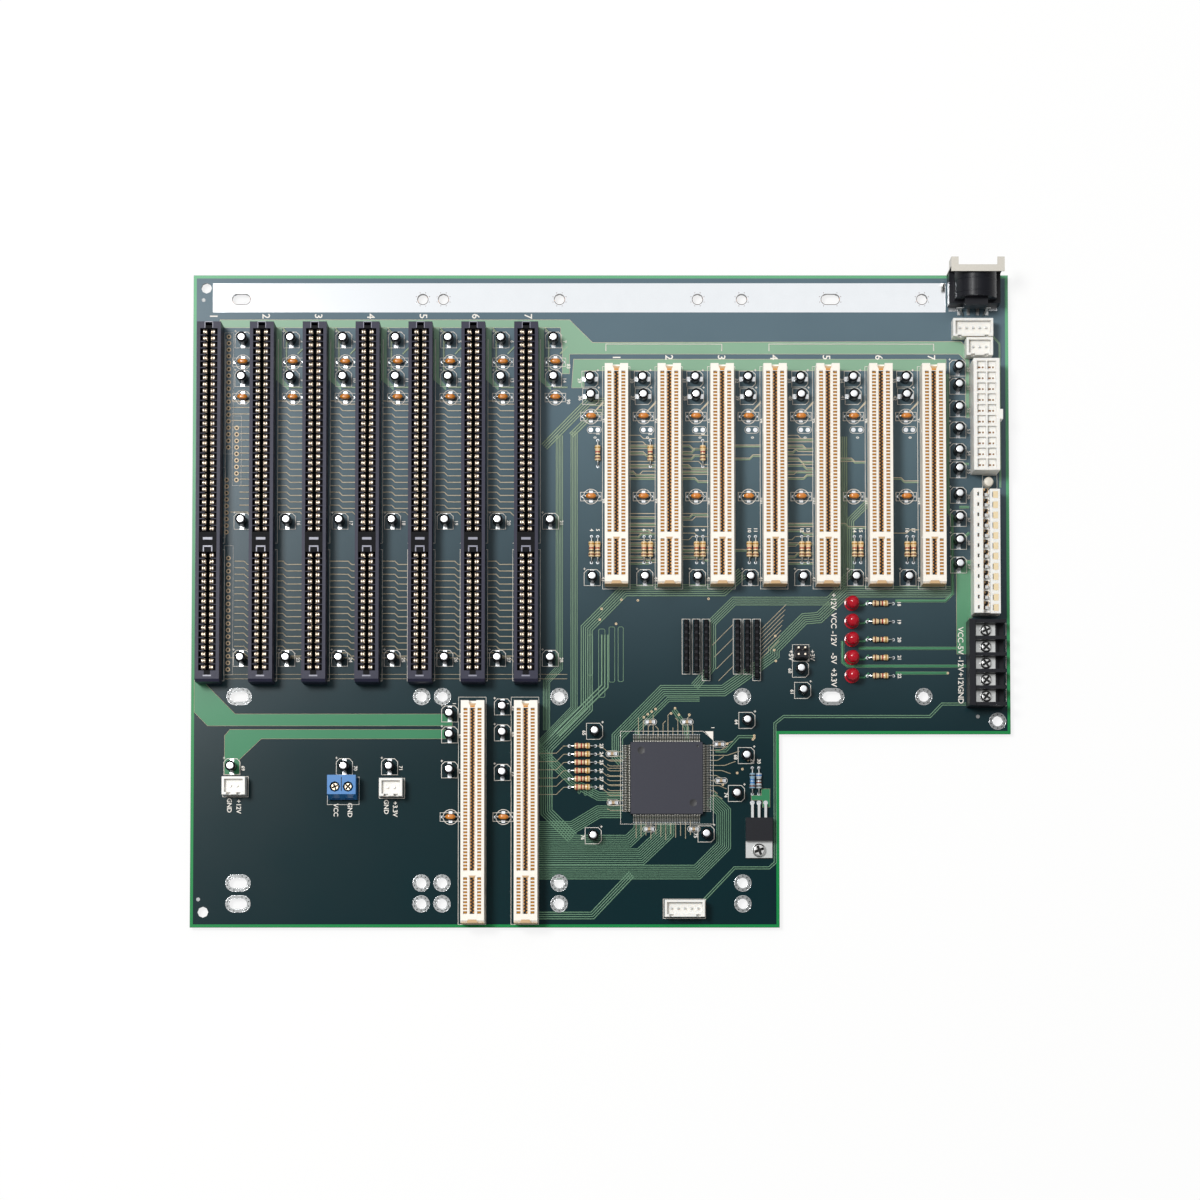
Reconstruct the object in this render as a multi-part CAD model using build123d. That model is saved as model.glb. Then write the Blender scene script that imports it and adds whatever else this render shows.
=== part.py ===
from build123d import *
from math import cos, pi
import os

os.makedirs("parts", exist_ok=True)

# Circuit board. Places on it are (u, v) in millimetres from its lower left corner, component side up.
# Its length and width follow from the rows of slots that it carries.
BOARD_THICK = 1.6
NOTCH_LENGTH = 89.2
NOTCH_WIDTH = 74.5
TAIL_LENGTH = 2.0

# Small repeated round parts are drawn with flats, so that many of them stay light.
SMALL_FLATS = 6
CAN_FLATS = 8
ROUND_FLATS = 10
WIDE_FLATS = 20

# Card slots. A row of contacts is a list of (first position, number of positions), with the key between.
SLOT_PITCH = 20.32
SLOT_FEET = 0.4
SLOT_FOOT_LENGTH = 5.0
PEG_SIZE = 2.0
PEG_CLEARANCE = 0.1

ISA_COUNT = 7
ISA_U = 7.3
ISA_WIDTH = 9.2
ISA_HEIGHT = 11.2
ISA_CONTACT_PITCH = 2.54
ISA_GROUPS = ((0, 31), (34, 18))
ISA_TOP_END = 3.9
ISA_LOW_END = 5.5
ISA_TROUGH_WIDTH = 6.7
ISA_TROUGH_DEPTH = 8.8
ISA_GUIDE_WIDTH = 3.2
ISA_GUIDE_LENGTH = 2.3
ISA_END_BEVEL = 1.1

PCI_COUNT = 7
PCI_COLUMN_GAP = 34.68
PCI_V = 212.9
PCI_WIDTH = 9.0
PCI_HEIGHT = 11.4
PCI_CONTACT_PITCH = 1.27
PCI_GROUPS = ((0, 49), (51, 11))
PCI_TOP_END = 3.6
PCI_LOW_END = 4.0
PCI_GROOVE_WIDTH = 1.6
PCI_GROOVE_DEPTH = 8.9
PCI_LEAD_IN = 0.4
PCI_WINDOW_OFFSET = 2.67
PCI_WINDOW_WIDTH = 1.5
PCI_WINDOW_DEPTH = 1.2
PCI_END_BEVEL = 0.9
PCI_NOTCH_WIDTH = 2.8
PCI_NOTCH_LENGTH = 1.2
PCI_NOTCH_DEPTH = 3.0
CPU_EDGE_GAP = 1.53
CPU_ISA_GAP = 7.16

# Where the rows of slots put the edges of the board.
POWER_COLUMN_GAP = 20.08
POWER_INSET = 9.9
TOP_MARGIN = 20.3
ISA_SPAN = (ISA_GROUPS[-1][0] + ISA_GROUPS[-1][1] - 1) * ISA_CONTACT_PITCH
PCI_SPAN = (PCI_GROUPS[-1][0] + PCI_GROUPS[-1][1] - 1) * PCI_CONTACT_PITCH
CPU_SLOT_V = CPU_EDGE_GAP + PCI_LOW_END + PCI_SPAN
ISA_V = CPU_SLOT_V + PCI_TOP_END + CPU_ISA_GAP + ISA_LOW_END + ISA_SPAN
PCI_U = ISA_U + (ISA_COUNT - 1) * SLOT_PITCH + PCI_COLUMN_GAP
POWER_U = PCI_U + (PCI_COUNT - 1) * SLOT_PITCH + POWER_COLUMN_GAP
BOARD_LENGTH = POWER_U + POWER_INSET
BOARD_WIDTH = ISA_V + ISA_TOP_END + TOP_MARGIN

# Screw holes of the chassis patterns, by column and row. The two lower rows end at the notch.
HOLE_DIAMETER = 3.9
SLOT_HOLE_LENGTH = 7.0
TOP_ROW_INSET = 9.4
CORNER_INSET = 5.0
LOW_CORNER_EXTRA = 0.9
HOLE_COLUMNS = (88.9, 96.9, 141.9, 212.5, 282.4)
SLOT_COLUMNS = (18.5, 246.9)
HOLE_ROWS = (BOARD_WIDTH - TOP_ROW_INSET, 89.0, 17.1, 9.1)
TOP_ROW_EXTRA = 195.4
CORNER_HOLES = (
    (CORNER_INSET, BOARD_WIDTH - CORNER_INSET),
    (CORNER_INSET, CORNER_INSET + LOW_CORNER_EXTRA),
    (BOARD_LENGTH - CORNER_INSET, NOTCH_WIDTH + CORNER_INSET),
)
SCREW_PATTERN = ((88.9, HOLE_ROWS[0]), (212.5, HOLE_ROWS[0]), (88.9, HOLE_ROWS[3]), (212.5, HOLE_ROWS[3]))

# Capacitors and resistors. A row beside the slots is (v, offset from the slot's middle), and what stands
# beside the first sixteen-bit slot is further off.
CAN_DIAMETER = 4.0
CAN_HEIGHT = 7.0
ISA_CAN_ROWS = ((227.7, 10.4), (212.6, 10.4), (157.0, 9.2), (103.8, 9.2))
ISA_CERAMIC_ROWS = ((219.0, 11.1), (205.2, 11.1))
ISA_FIRST_OFFSET = 12.0
PCI_CAN_ROWS = ((212.4, -10.2), (205.6, -9.9), (135.1, -9.3))
PCI_CERAMIC_ROWS = ((197.8, -9.8), (166.6, -9.8))
SUPPLY_CAN_OFFSET = -9.8
SUPPLY_CAN_ROWS = (216.7, 209.6, 200.8, 192.6, 184.1, 177.0, 167.1, 158.1, 149.2, 140.0)
BOARD_CANS = (
    (15.9, 61.9), (59.2, 61.9), (76.6, 61.9), (155.5, 75.6), (155.0, 35.3), (198.4, 36.0),
    (214.2, 79.8), (213.9, 66.2), (210.1, 51.6), (234.9, 99.6), (235.7, 91.4),
)
CPU_CAN_ROWS = ((82.3, 74.2, 60.7), (85.0, 75.0, 59.7))
CPU_CAN_OFFSET = -9.2
CERAMIC_WIDTH = 3.8
CERAMIC_THICK = 2.1
CERAMIC_HEIGHT = 3.6
CPU_CERAMIC_V = 42.5
CPU_CERAMIC_OFFSET = -8.8

RESISTOR_DIAMETER = 2.3
RESISTOR_LENGTH = 6.3
PULL_UP_OFFSETS = (-9.6, -7.2)
PULL_UP_V = 146.0
SINGLE_PULL_UPS = 3
SINGLE_PULL_UP_V = 183.4
CHIP_RESISTOR_U = 150.8
CHIP_RESISTOR_V = 69.9
CHIP_RESISTOR_PITCH = 3.18
CHIP_RESISTOR_COUNT = 6
FILM_RESISTORS = ((216.2, 56.4), (218.7, 56.4))

# Lamps, one for each supply voltage, each with its resistor.
LAMP_COUNT = 5
LAMP_PITCH = 7.0
LAMP_PLACE = (254.7, 125.0)
LAMP_DIAMETER = 5.0
LAMP_FLANGE_DIAMETER = 5.8
LAMP_FLANGE_HEIGHT = 1.0
LAMP_HEIGHT = 8.6
LAMP_DOME_HEIGHT = 2.0
LAMP_DOME_SLOPE = 32.0
LAMP_RESISTOR_OFFSET = 11.0

# Bridge chip, chip capacitors and resistor networks.
CHIP_PLACE = (183.2, 57.4)
CHIP_SIZE = 28.0
CHIP_HEIGHT = 3.4
CHIP_STAND = 0.3
CHIP_TAPER = 8.0
CHIP_CAPACITORS = (
    (177.0, 79.2), (191.1, 79.2), (162.3, 66.9), (162.7, 48.0),
    (176.5, 37.9), (193.7, 37.9), (203.6, 70.6), (204.2, 56.5),
)
CHIP_CAPACITOR_SIZE = (2.0, 1.25, 0.9)
NETWORK_COLUMNS = (190.8, 194.7, 198.5, 210.5, 214.3, 218.0)
NETWORK_TOP_V = 118.5
NETWORK_LENGTHS = (20.3, 20.3, 22.8, 20.3, 20.3, 22.8)
NETWORK_THICK = 2.5
NETWORK_HEIGHT = 5.0

# Voltage regulator, lying on the board under one screw.
REGULATOR_PLACE = (218.7, 42.1)
REGULATOR_WIDTH = 10.2
REGULATOR_BODY_LENGTH = 8.9
REGULATOR_HEIGHT = 4.4
REGULATOR_TAB_LENGTH = 15.4
REGULATOR_TAB_THICK = 1.3
REGULATOR_HOLE_INSET = 2.9
REGULATOR_HOLE_DIAMETER = 3.8
REGULATOR_LEAD_PITCH = 2.54
REGULATOR_LEAD_WIDTH = 1.0
REGULATOR_LEAD_THICK = 0.5
REGULATOR_LEAD_LENGTH = 5.6
REGULATOR_LEAD_HEIGHT = 2.2
SCREW_HEAD_DIAMETER = 5.2
SCREW_HEAD_HEIGHT = 2.0
SCREW_SHANK_DIAMETER = 3.0
NUT_WIDTH = 5.5
NUT_THICK = 1.8

# Barrier strip: five screw terminals between upright barriers.
BARRIER_WAYS = 5
BARRIER_PITCH = 6.35
BARRIER_V = 101.2
BARRIER_WIDTH = 14.2
BARRIER_WALL = 1.3
BARRIER_HEIGHT = 11.0
BARRIER_FLOOR = 5.0
BARRIER_SPINE_WIDTH = 2.4
BARRIER_SPINE_HEIGHT = 12.0
BARRIER_LEDGE_WIDTH = 2.8
BARRIER_LEDGE_HEIGHT = 2.5
TERMINAL_PLATE = (7.4, 4.7, 0.8)
TERMINAL_SCREW_DIAMETER = 4.4
TERMINAL_SCREW_HEIGHT = 1.8

# Twenty-way power header: two columns of cells, each with a square pin.
ATX_ROWS = 10
ATX_PITCH = 4.2
ATX_V = 196.6
ATX_WIDTH = 10.0
ATX_LENGTH = 43.2
ATX_HEIGHT = 12.8
ATX_CELL = 3.3
ATX_CELL_DEPTH = 9.0
ATX_COLUMN_GAP = 3.95
ATX_PIN = 1.1
ATX_PIN_HEIGHT = 8.6
ATX_LATCH = (1.2, 3.8, 6.0)

# Twelve-way power header: pins in a trough between a tall keyed wall and a lower windowed wall.
AT_WAYS = 12
AT_PITCH = 3.96
AT_V = 144.1
AT_WIDTH = 10.4
AT_LENGTH = 48.0
AT_FLOOR = 3.2
AT_TALL_WALL = 3.6
AT_TALL_HEIGHT = 12.0
AT_LOW_WALL = 3.9
AT_LOW_HEIGHT = 10.0
AT_KEY_SLOT = (0.7, 1.4, 3.0)
AT_WINDOW = 2.0
AT_WINDOW_DEPTH = 1.6
AT_PIN = 1.14
AT_PIN_HEIGHT = 10.0

# White shrouded headers: (u, v, number of pins, length, width).
SHROUDS = {
    "keyboard_header": (POWER_U - 4.5, 231.2, 5, 15.4, 7.0),
    "speaker_header": (POWER_U - 2.0, 223.8, 3, 10.2, 6.9),
    "front_panel_header": (190.0, 7.2, 5, 15.3, 6.4),
    "fan_header_left": (17.3, 54.2, 2, 8.9, 6.9),
    "fan_header_right": (77.5, 53.6, 2, 8.8, 6.9),
}
SHROUD_HEIGHT = 8.0
SHROUD_WALL = 0.9
SHROUD_FLOOR = 2.5
SHROUD_PIN = 0.64
SHROUD_PIN_PITCH = 2.54
SHROUD_PIN_HEIGHT = 7.0
SHROUD_SLOT_WIDTH = 1.6
SHROUD_SLOT_DEPTH = 3.5

# Two-way screw terminal.
CLAMP_PLACE = (58.8, 53.6)
CLAMP_LENGTH = 10.9
CLAMP_WIDTH = 9.0
CLAMP_HEIGHT = 10.0
CLAMP_PITCH = 5.08
CLAMP_SLOPE = 1.6
CLAMP_FOOT_HEIGHT = 3.0
CLAMP_SCREW_DIAMETER = 3.4
CLAMP_SCREW_RECESS = 0.3
CLAMP_WELL_DEPTH = 3.0
CLAMP_WELL_CLEARANCE = 0.2
CLAMP_ENTRY_WIDTH = 3.2
CLAMP_ENTRY_DEPTH = 3.4
CLAMP_ENTRY_HEIGHT = 3.4
CLAMP_ENTRY_FLOOR = 1.4

# Two-by-two jumper pins with one cap, and the round self-resetting fuse.
JUMPER_PLACE = (235.0, 105.9)
JUMPER_PITCH = 2.54
JUMPER_BASE_HEIGHT = 2.5
JUMPER_PIN = 0.64
JUMPER_PIN_HEIGHT = 8.5
JUMPER_CAP = (5.0, 2.4, 5.6)
JUMPER_CAP_SOCKET = 0.75
FUSE_PLACE = (POWER_U + 1.4, 171.6)
FUSE_DIAMETER = 3.8
FUSE_HEIGHT = 6.0

# Keyboard socket: a round five-pole socket that opens past the upper edge of the board.
SOCKET_INSET = 13.7
SOCKET_WIDTH = 19.8
SOCKET_DEPTH = 12.0
SOCKET_AXIS_HEIGHT = 10.0
SOCKET_BASE_HEIGHT = 8.0
SOCKET_BARREL_DIAMETER = 16.0
SOCKET_BARREL_LENGTH = 11.0
SOCKET_CAP_WIDTH = 8.8
SOCKET_CAP_LENGTH = 2.8
SOCKET_CAP_FLOOR = 6.0
SOCKET_CAP_HEIGHT = 8.0
SOCKET_RING_OUTER = 13.6
SOCKET_RING_INNER = 11.8
SOCKET_RING_DEPTH = 8.0
SOCKET_POLE_HOLE = 1.6
SOCKET_POLE_RADIUS = 3.6
SOCKET_POLES = 5
SOCKET_POLE_STEP = 45.0
SHIELD_WIDTH = 20.4
SHIELD_HEIGHT = 19.6
SHIELD_THICK = 0.5
SHIELD_FLANGE = 2.1
SOCKET_OVERHANG = 3.0
EAR_WIDTH = 2.8
EAR_HEIGHT = 9.0
SOCKET_TAIL_WIDTH = 1.2
SOCKET_TAIL_THICK = 0.5
SOCKET_TAIL_LENGTH = 3.2
SOCKET_TAIL_PITCH = 3.6
SOCKET_TAIL_COUNT = 4

FRAME_WIDTH = BOARD_WIDTH + SOCKET_OVERHANG
BOARD_TOP = TAIL_LENGTH + BOARD_THICK
ON_BASE = (Align.CENTER, Align.CENTER, Align.MIN)
REGULATOR_HOLE = (REGULATOR_PLACE[0], REGULATOR_PLACE[1] - REGULATOR_TAB_LENGTH + REGULATOR_HOLE_INSET)


def at(shape, u, v, z=0.0, turn=0.0):
    """A shape set down on the component side of the board, turned about its own upright axis."""
    return Pos(u - BOARD_LENGTH / 2, v - FRAME_WIDTH / 2, BOARD_TOP + z) * Rot(0, 0, turn) * shape


def block(length, width, height):
    """A box that stands on its own origin."""
    return Box(length, width, height, align=ON_BASE)


def prism(diameter, height, flats):
    """An upright many-sided rod whose flats touch the round rod of this diameter."""
    return extrude(RegularPolygon(diameter / 2, flats, major_radius=False), height)


def save(name, solids):
    """One file for each node, holding one solid or a group of like solids."""
    export_step(Compound(children=list(solids)), f"parts/{name}.step")


def isa_places():
    return [(ISA_U + SLOT_PITCH * i, ISA_V) for i in range(ISA_COUNT)]


def pci_places():
    return [(PCI_U + SLOT_PITCH * i, PCI_V) for i in range(PCI_COUNT)]


def cpu_places():
    return [(u, CPU_SLOT_V) for u, _ in isa_places()[-2:]]


def row_ends(groups, pitch, first_end, last_end):
    """The ends of a housing along Y, where the first contact is at zero and the rest follow below it."""
    first, count = groups[-1]
    return first_end, -(first + count - 1) * pitch - last_end


def isa_ends():
    return row_ends(ISA_GROUPS, ISA_CONTACT_PITCH, ISA_TOP_END, ISA_LOW_END)


def pci_ends():
    return row_ends(PCI_GROUPS, PCI_CONTACT_PITCH, PCI_TOP_END, PCI_LOW_END)


def group_span(group, pitch):
    """The middle and the length of one group of contacts."""
    first, count = group
    return -(first + (count - 1) / 2) * pitch, count * pitch


def peg_rows(ends):
    """Where the two locating pegs of a housing stand, under its end feet."""
    return ends[0] - SLOT_FOOT_LENGTH / 2, ends[1] + SLOT_FOOT_LENGTH / 2


def housing_blank(width, height, ends, bevel):
    """A slot housing before its openings: feet and pegs below, one bevelled end."""
    top, low = ends
    outline = Polyline(
        (top, 0),
        (top, height),
        (low + bevel, height),
        (low, height - bevel),
        (low, 0),
        (low + SLOT_FOOT_LENGTH, 0),
        (low + SLOT_FOOT_LENGTH, SLOT_FEET),
        (top - SLOT_FOOT_LENGTH, SLOT_FEET),
        (top - SLOT_FOOT_LENGTH, 0),
        close=True,
    )
    body = extrude(Plane.YZ * make_face(outline), width / 2, both=True)
    peg_length = BOARD_TOP + SLOT_FEET
    pegs = [Pos(0, y, SLOT_FEET - peg_length) * block(PEG_SIZE, PEG_SIZE, peg_length) for y in peg_rows(ends)]
    return body + pegs


def isa_housing():
    """Sixteen-bit slot: a deep contact trough for each group, a guide at the upper end, a key between."""
    body = housing_blank(ISA_WIDTH, ISA_HEIGHT, isa_ends(), ISA_END_BEVEL)
    for group in ISA_GROUPS:
        middle, length = group_span(group, ISA_CONTACT_PITCH)
        trough = block(ISA_TROUGH_WIDTH, length, ISA_TROUGH_DEPTH)
        body -= Pos(0, middle, ISA_HEIGHT - ISA_TROUGH_DEPTH) * trough
    guide = block(ISA_GUIDE_WIDTH, ISA_GUIDE_LENGTH, ISA_TROUGH_DEPTH)
    guide_y = ISA_CONTACT_PITCH / 2 + ISA_GUIDE_LENGTH / 2
    return body - Pos(0, guide_y, ISA_HEIGHT - ISA_TROUGH_DEPTH) * guide


def pci_groove(length):
    """Card groove with a sloped mouth, its top at zero."""
    half = PCI_GROOVE_WIDTH / 2
    outline = Polyline(
        (-half - PCI_LEAD_IN, 0),
        (-half, -PCI_LEAD_IN),
        (-half, -PCI_GROOVE_DEPTH),
        (half, -PCI_GROOVE_DEPTH),
        (half, -PCI_LEAD_IN),
        (half + PCI_LEAD_IN, 0),
        close=True,
    )
    return extrude(Plane.XZ * make_face(outline), length / 2, both=True)


def pci_housing():
    """Fine-pitch slot: a grooved centre, a row of contact windows on each side and a notch in each end."""
    ends = pci_ends()
    body = housing_blank(PCI_WIDTH, PCI_HEIGHT, ends, PCI_END_BEVEL)
    for group in PCI_GROUPS:
        middle, length = group_span(group, PCI_CONTACT_PITCH)
        body -= Pos(0, middle, PCI_HEIGHT) * pci_groove(length)
        for side in (-1, 1):
            windows = block(PCI_WINDOW_WIDTH, length, PCI_WINDOW_DEPTH)
            body -= Pos(side * PCI_WINDOW_OFFSET, middle, PCI_HEIGHT - PCI_WINDOW_DEPTH) * windows
    for end, inward in zip(ends, (-1, 1)):
        notch = block(PCI_NOTCH_WIDTH, 2 * PCI_NOTCH_LENGTH, PCI_NOTCH_DEPTH)
        body -= Pos(0, end, PCI_HEIGHT - PCI_NOTCH_DEPTH) * notch
    return body


def screw_pattern_holes():
    return [Pos(u, v) * Circle(HOLE_DIAMETER / 2) for u, v in SCREW_PATTERN]


def spare_holes():
    """Every other round hole, and the slotted ones, for other chassis."""
    notch_u = BOARD_LENGTH - NOTCH_LENGTH
    rounds = [(u, v) for v in HOLE_ROWS for u in HOLE_COLUMNS if v > NOTCH_WIDTH or u < notch_u]
    rounds += [(TOP_ROW_EXTRA, HOLE_ROWS[0]), *CORNER_HOLES]
    ring = RegularPolygon(HOLE_DIAMETER / 2, CAN_FLATS, major_radius=False)
    holes = [Pos(u, v) * ring for u, v in rounds if (u, v) not in SCREW_PATTERN]
    reach = (SLOT_HOLE_LENGTH - HOLE_DIAMETER) / 2
    long_hole = make_hull((Pos(-reach, 0) * ring).edges() + (Pos(reach, 0) * ring).edges())
    slots = [(u, v) for v in HOLE_ROWS for u in SLOT_COLUMNS if v > NOTCH_WIDTH or u < notch_u]
    return holes + [Pos(u, v) * long_hole for u, v in slots]


def peg_holes():
    size = PEG_SIZE + 2 * PEG_CLEARANCE
    holes = []
    for places, ends in ((isa_places(), isa_ends()), (pci_places() + cpu_places(), pci_ends())):
        holes += [Pos(u, v + y) * Rectangle(size, size) for u, v in places for y in peg_rows(ends)]
    return holes


def circuit_board():
    """The board with its notch, its screw holes and the holes for the locating pegs."""
    notch_u = BOARD_LENGTH - NOTCH_LENGTH
    outline = Polyline(
        (0, 0),
        (notch_u, 0),
        (notch_u, NOTCH_WIDTH),
        (BOARD_LENGTH, NOTCH_WIDTH),
        (BOARD_LENGTH, BOARD_WIDTH),
        (0, BOARD_WIDTH),
        close=True,
    )
    round_hole = RegularPolygon(REGULATOR_HOLE_DIAMETER / 2, CAN_FLATS, major_radius=False)
    regulator_hole = Pos(*REGULATOR_HOLE) * round_hole
    face = make_face(outline) - (screw_pattern_holes() + spare_holes() + peg_holes() + [regulator_hole])
    return at(extrude(face, -BOARD_THICK), 0, 0)


def can():
    """Small electrolytic capacitor."""
    return prism(CAN_DIAMETER, CAN_HEIGHT, CAN_FLATS)


def ceramic():
    """Dipped ceramic capacitor, standing on edge across its leads."""
    half = CERAMIC_WIDTH / 2
    corner = CERAMIC_WIDTH / 4
    outline = Polyline(
        (-corner, 0),
        (corner, 0),
        (half, CERAMIC_HEIGHT / 2),
        (corner, CERAMIC_HEIGHT),
        (-corner, CERAMIC_HEIGHT),
        (-half, CERAMIC_HEIGHT / 2),
        close=True,
    )
    return extrude(Plane.XZ * make_face(outline), CERAMIC_THICK / 2, both=True)


def resistor():
    """Axial resistor body lying along Y on the board, with upright flats towards its neighbours."""
    half_turn = pi / SMALL_FLATS
    axis_height = RESISTOR_DIAMETER / 2 / cos(half_turn)
    rod = Rot(0, 0, 180 / SMALL_FLATS) * prism(RESISTOR_DIAMETER, RESISTOR_LENGTH, SMALL_FLATS)
    return Pos(0, RESISTOR_LENGTH / 2, axis_height) * Rot(90, 0, 0) * rod


def lamp():
    """Five-millimetre lamp with a flange and a domed top."""
    straight = LAMP_HEIGHT - LAMP_DOME_HEIGHT
    stem = prism(LAMP_DIAMETER, straight, CAN_FLATS)
    flange = prism(LAMP_FLANGE_DIAMETER, LAMP_FLANGE_HEIGHT, CAN_FLATS)
    crown = RegularPolygon(LAMP_DIAMETER / 2, CAN_FLATS, major_radius=False)
    dome = Pos(0, 0, straight) * extrude(crown, LAMP_DOME_HEIGHT, taper=LAMP_DOME_SLOPE)
    return flange + stem + dome


def chip_body():
    """Flat square package whose sides slope away from its middle plane."""
    half = (CHIP_HEIGHT - CHIP_STAND) / 2
    square = Rectangle(CHIP_SIZE, CHIP_SIZE)
    upper = extrude(square, half, taper=CHIP_TAPER)
    lower = extrude(square, -half, taper=CHIP_TAPER)
    return Pos(0, 0, CHIP_STAND + half) * (upper + lower)


def regulator_tab():
    """Metal tab, its end with the screw hole past the moulded body. The body's upper end is at the origin."""
    plate = block(REGULATOR_WIDTH, REGULATOR_TAB_LENGTH, REGULATOR_TAB_THICK)
    hole = prism(REGULATOR_HOLE_DIAMETER, REGULATOR_TAB_THICK, CAN_FLATS)
    plate = Pos(0, -REGULATOR_TAB_LENGTH / 2, 0) * plate
    return plate - Pos(0, REGULATOR_HOLE_INSET - REGULATOR_TAB_LENGTH, 0) * hole


def regulator_body():
    moulded = block(REGULATOR_WIDTH, REGULATOR_BODY_LENGTH, REGULATOR_HEIGHT - REGULATOR_TAB_THICK)
    return Pos(0, -REGULATOR_BODY_LENGTH / 2, REGULATOR_TAB_THICK) * moulded


def regulator_leads():
    """Three flat leads that leave the body level and bend down to the board."""
    top = REGULATOR_LEAD_HEIGHT
    under = top - REGULATOR_LEAD_THICK
    foot = REGULATOR_LEAD_LENGTH - REGULATOR_LEAD_THICK
    outline = Polyline(
        (0, top),
        (REGULATOR_LEAD_LENGTH, top),
        (REGULATOR_LEAD_LENGTH, 0),
        (foot, 0),
        (foot, under),
        (0, under),
        close=True,
    )
    lead = extrude(Plane.YZ * make_face(outline), REGULATOR_LEAD_WIDTH / 2, both=True)
    return [Pos(i * REGULATOR_LEAD_PITCH, 0, 0) * lead for i in (-1, 0, 1)]


def regulator_screw():
    """Pan-head screw through the tab and the board, its head on the tab."""
    shank_length = REGULATOR_TAB_THICK + BOARD_TOP
    shank = Pos(0, 0, -shank_length) * prism(SCREW_SHANK_DIAMETER, shank_length, SMALL_FLATS)
    return prism(SCREW_HEAD_DIAMETER, SCREW_HEAD_HEIGHT, ROUND_FLATS) + shank


def regulator_nut():
    """Hexagon nut under the board, with room round the shank."""
    nut = prism(NUT_WIDTH, NUT_THICK, SMALL_FLATS)
    bore = prism(SCREW_SHANK_DIAMETER, NUT_THICK, SMALL_FLATS)
    return nut - bore


def barrier_body():
    """Terminal block: floor, tall spine, low ledge and a barrier on each side of every screw."""
    length = BARRIER_WAYS * BARRIER_PITCH + BARRIER_WALL
    left = -BARRIER_WIDTH / 2
    right = BARRIER_WIDTH / 2
    spine = left + BARRIER_SPINE_WIDTH
    ledge = right - BARRIER_LEDGE_WIDTH
    outline = Polyline(
        (left, 0),
        (right, 0),
        (right, BARRIER_LEDGE_HEIGHT),
        (ledge, BARRIER_LEDGE_HEIGHT),
        (ledge, BARRIER_FLOOR),
        (spine, BARRIER_FLOOR),
        (spine, BARRIER_SPINE_HEIGHT),
        (left, BARRIER_SPINE_HEIGHT),
        close=True,
    )
    body = extrude(Plane.XZ * make_face(outline), length / 2, both=True)
    wall_width = BARRIER_WIDTH - BARRIER_SPINE_WIDTH
    for i in range(BARRIER_WAYS + 1):
        y = (i - BARRIER_WAYS / 2) * BARRIER_PITCH
        body += Pos(BARRIER_SPINE_WIDTH / 2, y, 0) * block(wall_width, BARRIER_WALL, BARRIER_HEIGHT)
    return body


def barrier_screw_x():
    return (BARRIER_SPINE_WIDTH - BARRIER_LEDGE_WIDTH) / 2


def barrier_rows():
    return [(i - (BARRIER_WAYS - 1) / 2) * BARRIER_PITCH for i in range(BARRIER_WAYS)]


def atx_cells():
    """The middle of each cell of the twenty-way header."""
    half_gap = ATX_COLUMN_GAP / 2
    rows = [(i - (ATX_ROWS - 1) / 2) * ATX_PITCH for i in range(ATX_ROWS)]
    return [(x, y) for x in (-half_gap, half_gap) for y in rows]


def atx_housing():
    body = block(ATX_WIDTH, ATX_LENGTH, ATX_HEIGHT)
    latch_length, latch_width, latch_height = ATX_LATCH
    latch = block(latch_length, latch_width, latch_height)
    body += Pos((ATX_WIDTH + latch_length) / 2, 0, ATX_HEIGHT - latch_height) * latch
    cell = block(ATX_CELL, ATX_CELL, ATX_CELL_DEPTH)
    return body - [Pos(x, y, ATX_HEIGHT - ATX_CELL_DEPTH) * cell for x, y in atx_cells()]


def atx_pins():
    floor = ATX_HEIGHT - ATX_CELL_DEPTH
    pin = Pos(0, 0, floor) * block(ATX_PIN, ATX_PIN, ATX_PIN_HEIGHT - floor)
    return [Pos(x, y, 0) * pin for x, y in atx_cells()]


def at_rows():
    return [(i - (AT_WAYS - 1) / 2) * AT_PITCH for i in range(AT_WAYS)]


def at_trough_x():
    """The middle of the trough between the two walls."""
    return (AT_TALL_WALL - AT_LOW_WALL) / 2


def at_housing():
    left = -AT_WIDTH / 2
    right = AT_WIDTH / 2
    outline = Polyline(
        (left, 0),
        (right, 0),
        (right, AT_LOW_HEIGHT),
        (right - AT_LOW_WALL, AT_LOW_HEIGHT),
        (right - AT_LOW_WALL, AT_FLOOR),
        (left + AT_TALL_WALL, AT_FLOOR),
        (left + AT_TALL_WALL, AT_TALL_HEIGHT),
        (left, AT_TALL_HEIGHT),
        close=True,
    )
    body = extrude(Plane.XZ * make_face(outline), AT_LENGTH / 2, both=True)
    key_x = left + AT_TALL_WALL / 2
    window_x = right - AT_LOW_WALL / 2
    key = Pos(key_x, 0, AT_TALL_HEIGHT - AT_KEY_SLOT[2]) * block(*AT_KEY_SLOT)
    window = Pos(window_x, 0, AT_LOW_HEIGHT - AT_WINDOW_DEPTH) * block(AT_WINDOW, AT_WINDOW, AT_WINDOW_DEPTH)
    return body - [Pos(0, y, 0) * cut for y in at_rows() for cut in (key, window)]


def at_pins():
    pin = block(AT_PIN, AT_PIN, AT_PIN_HEIGHT - AT_FLOOR)
    return [Pos(at_trough_x(), y, AT_FLOOR) * pin for y in at_rows()]


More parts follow.
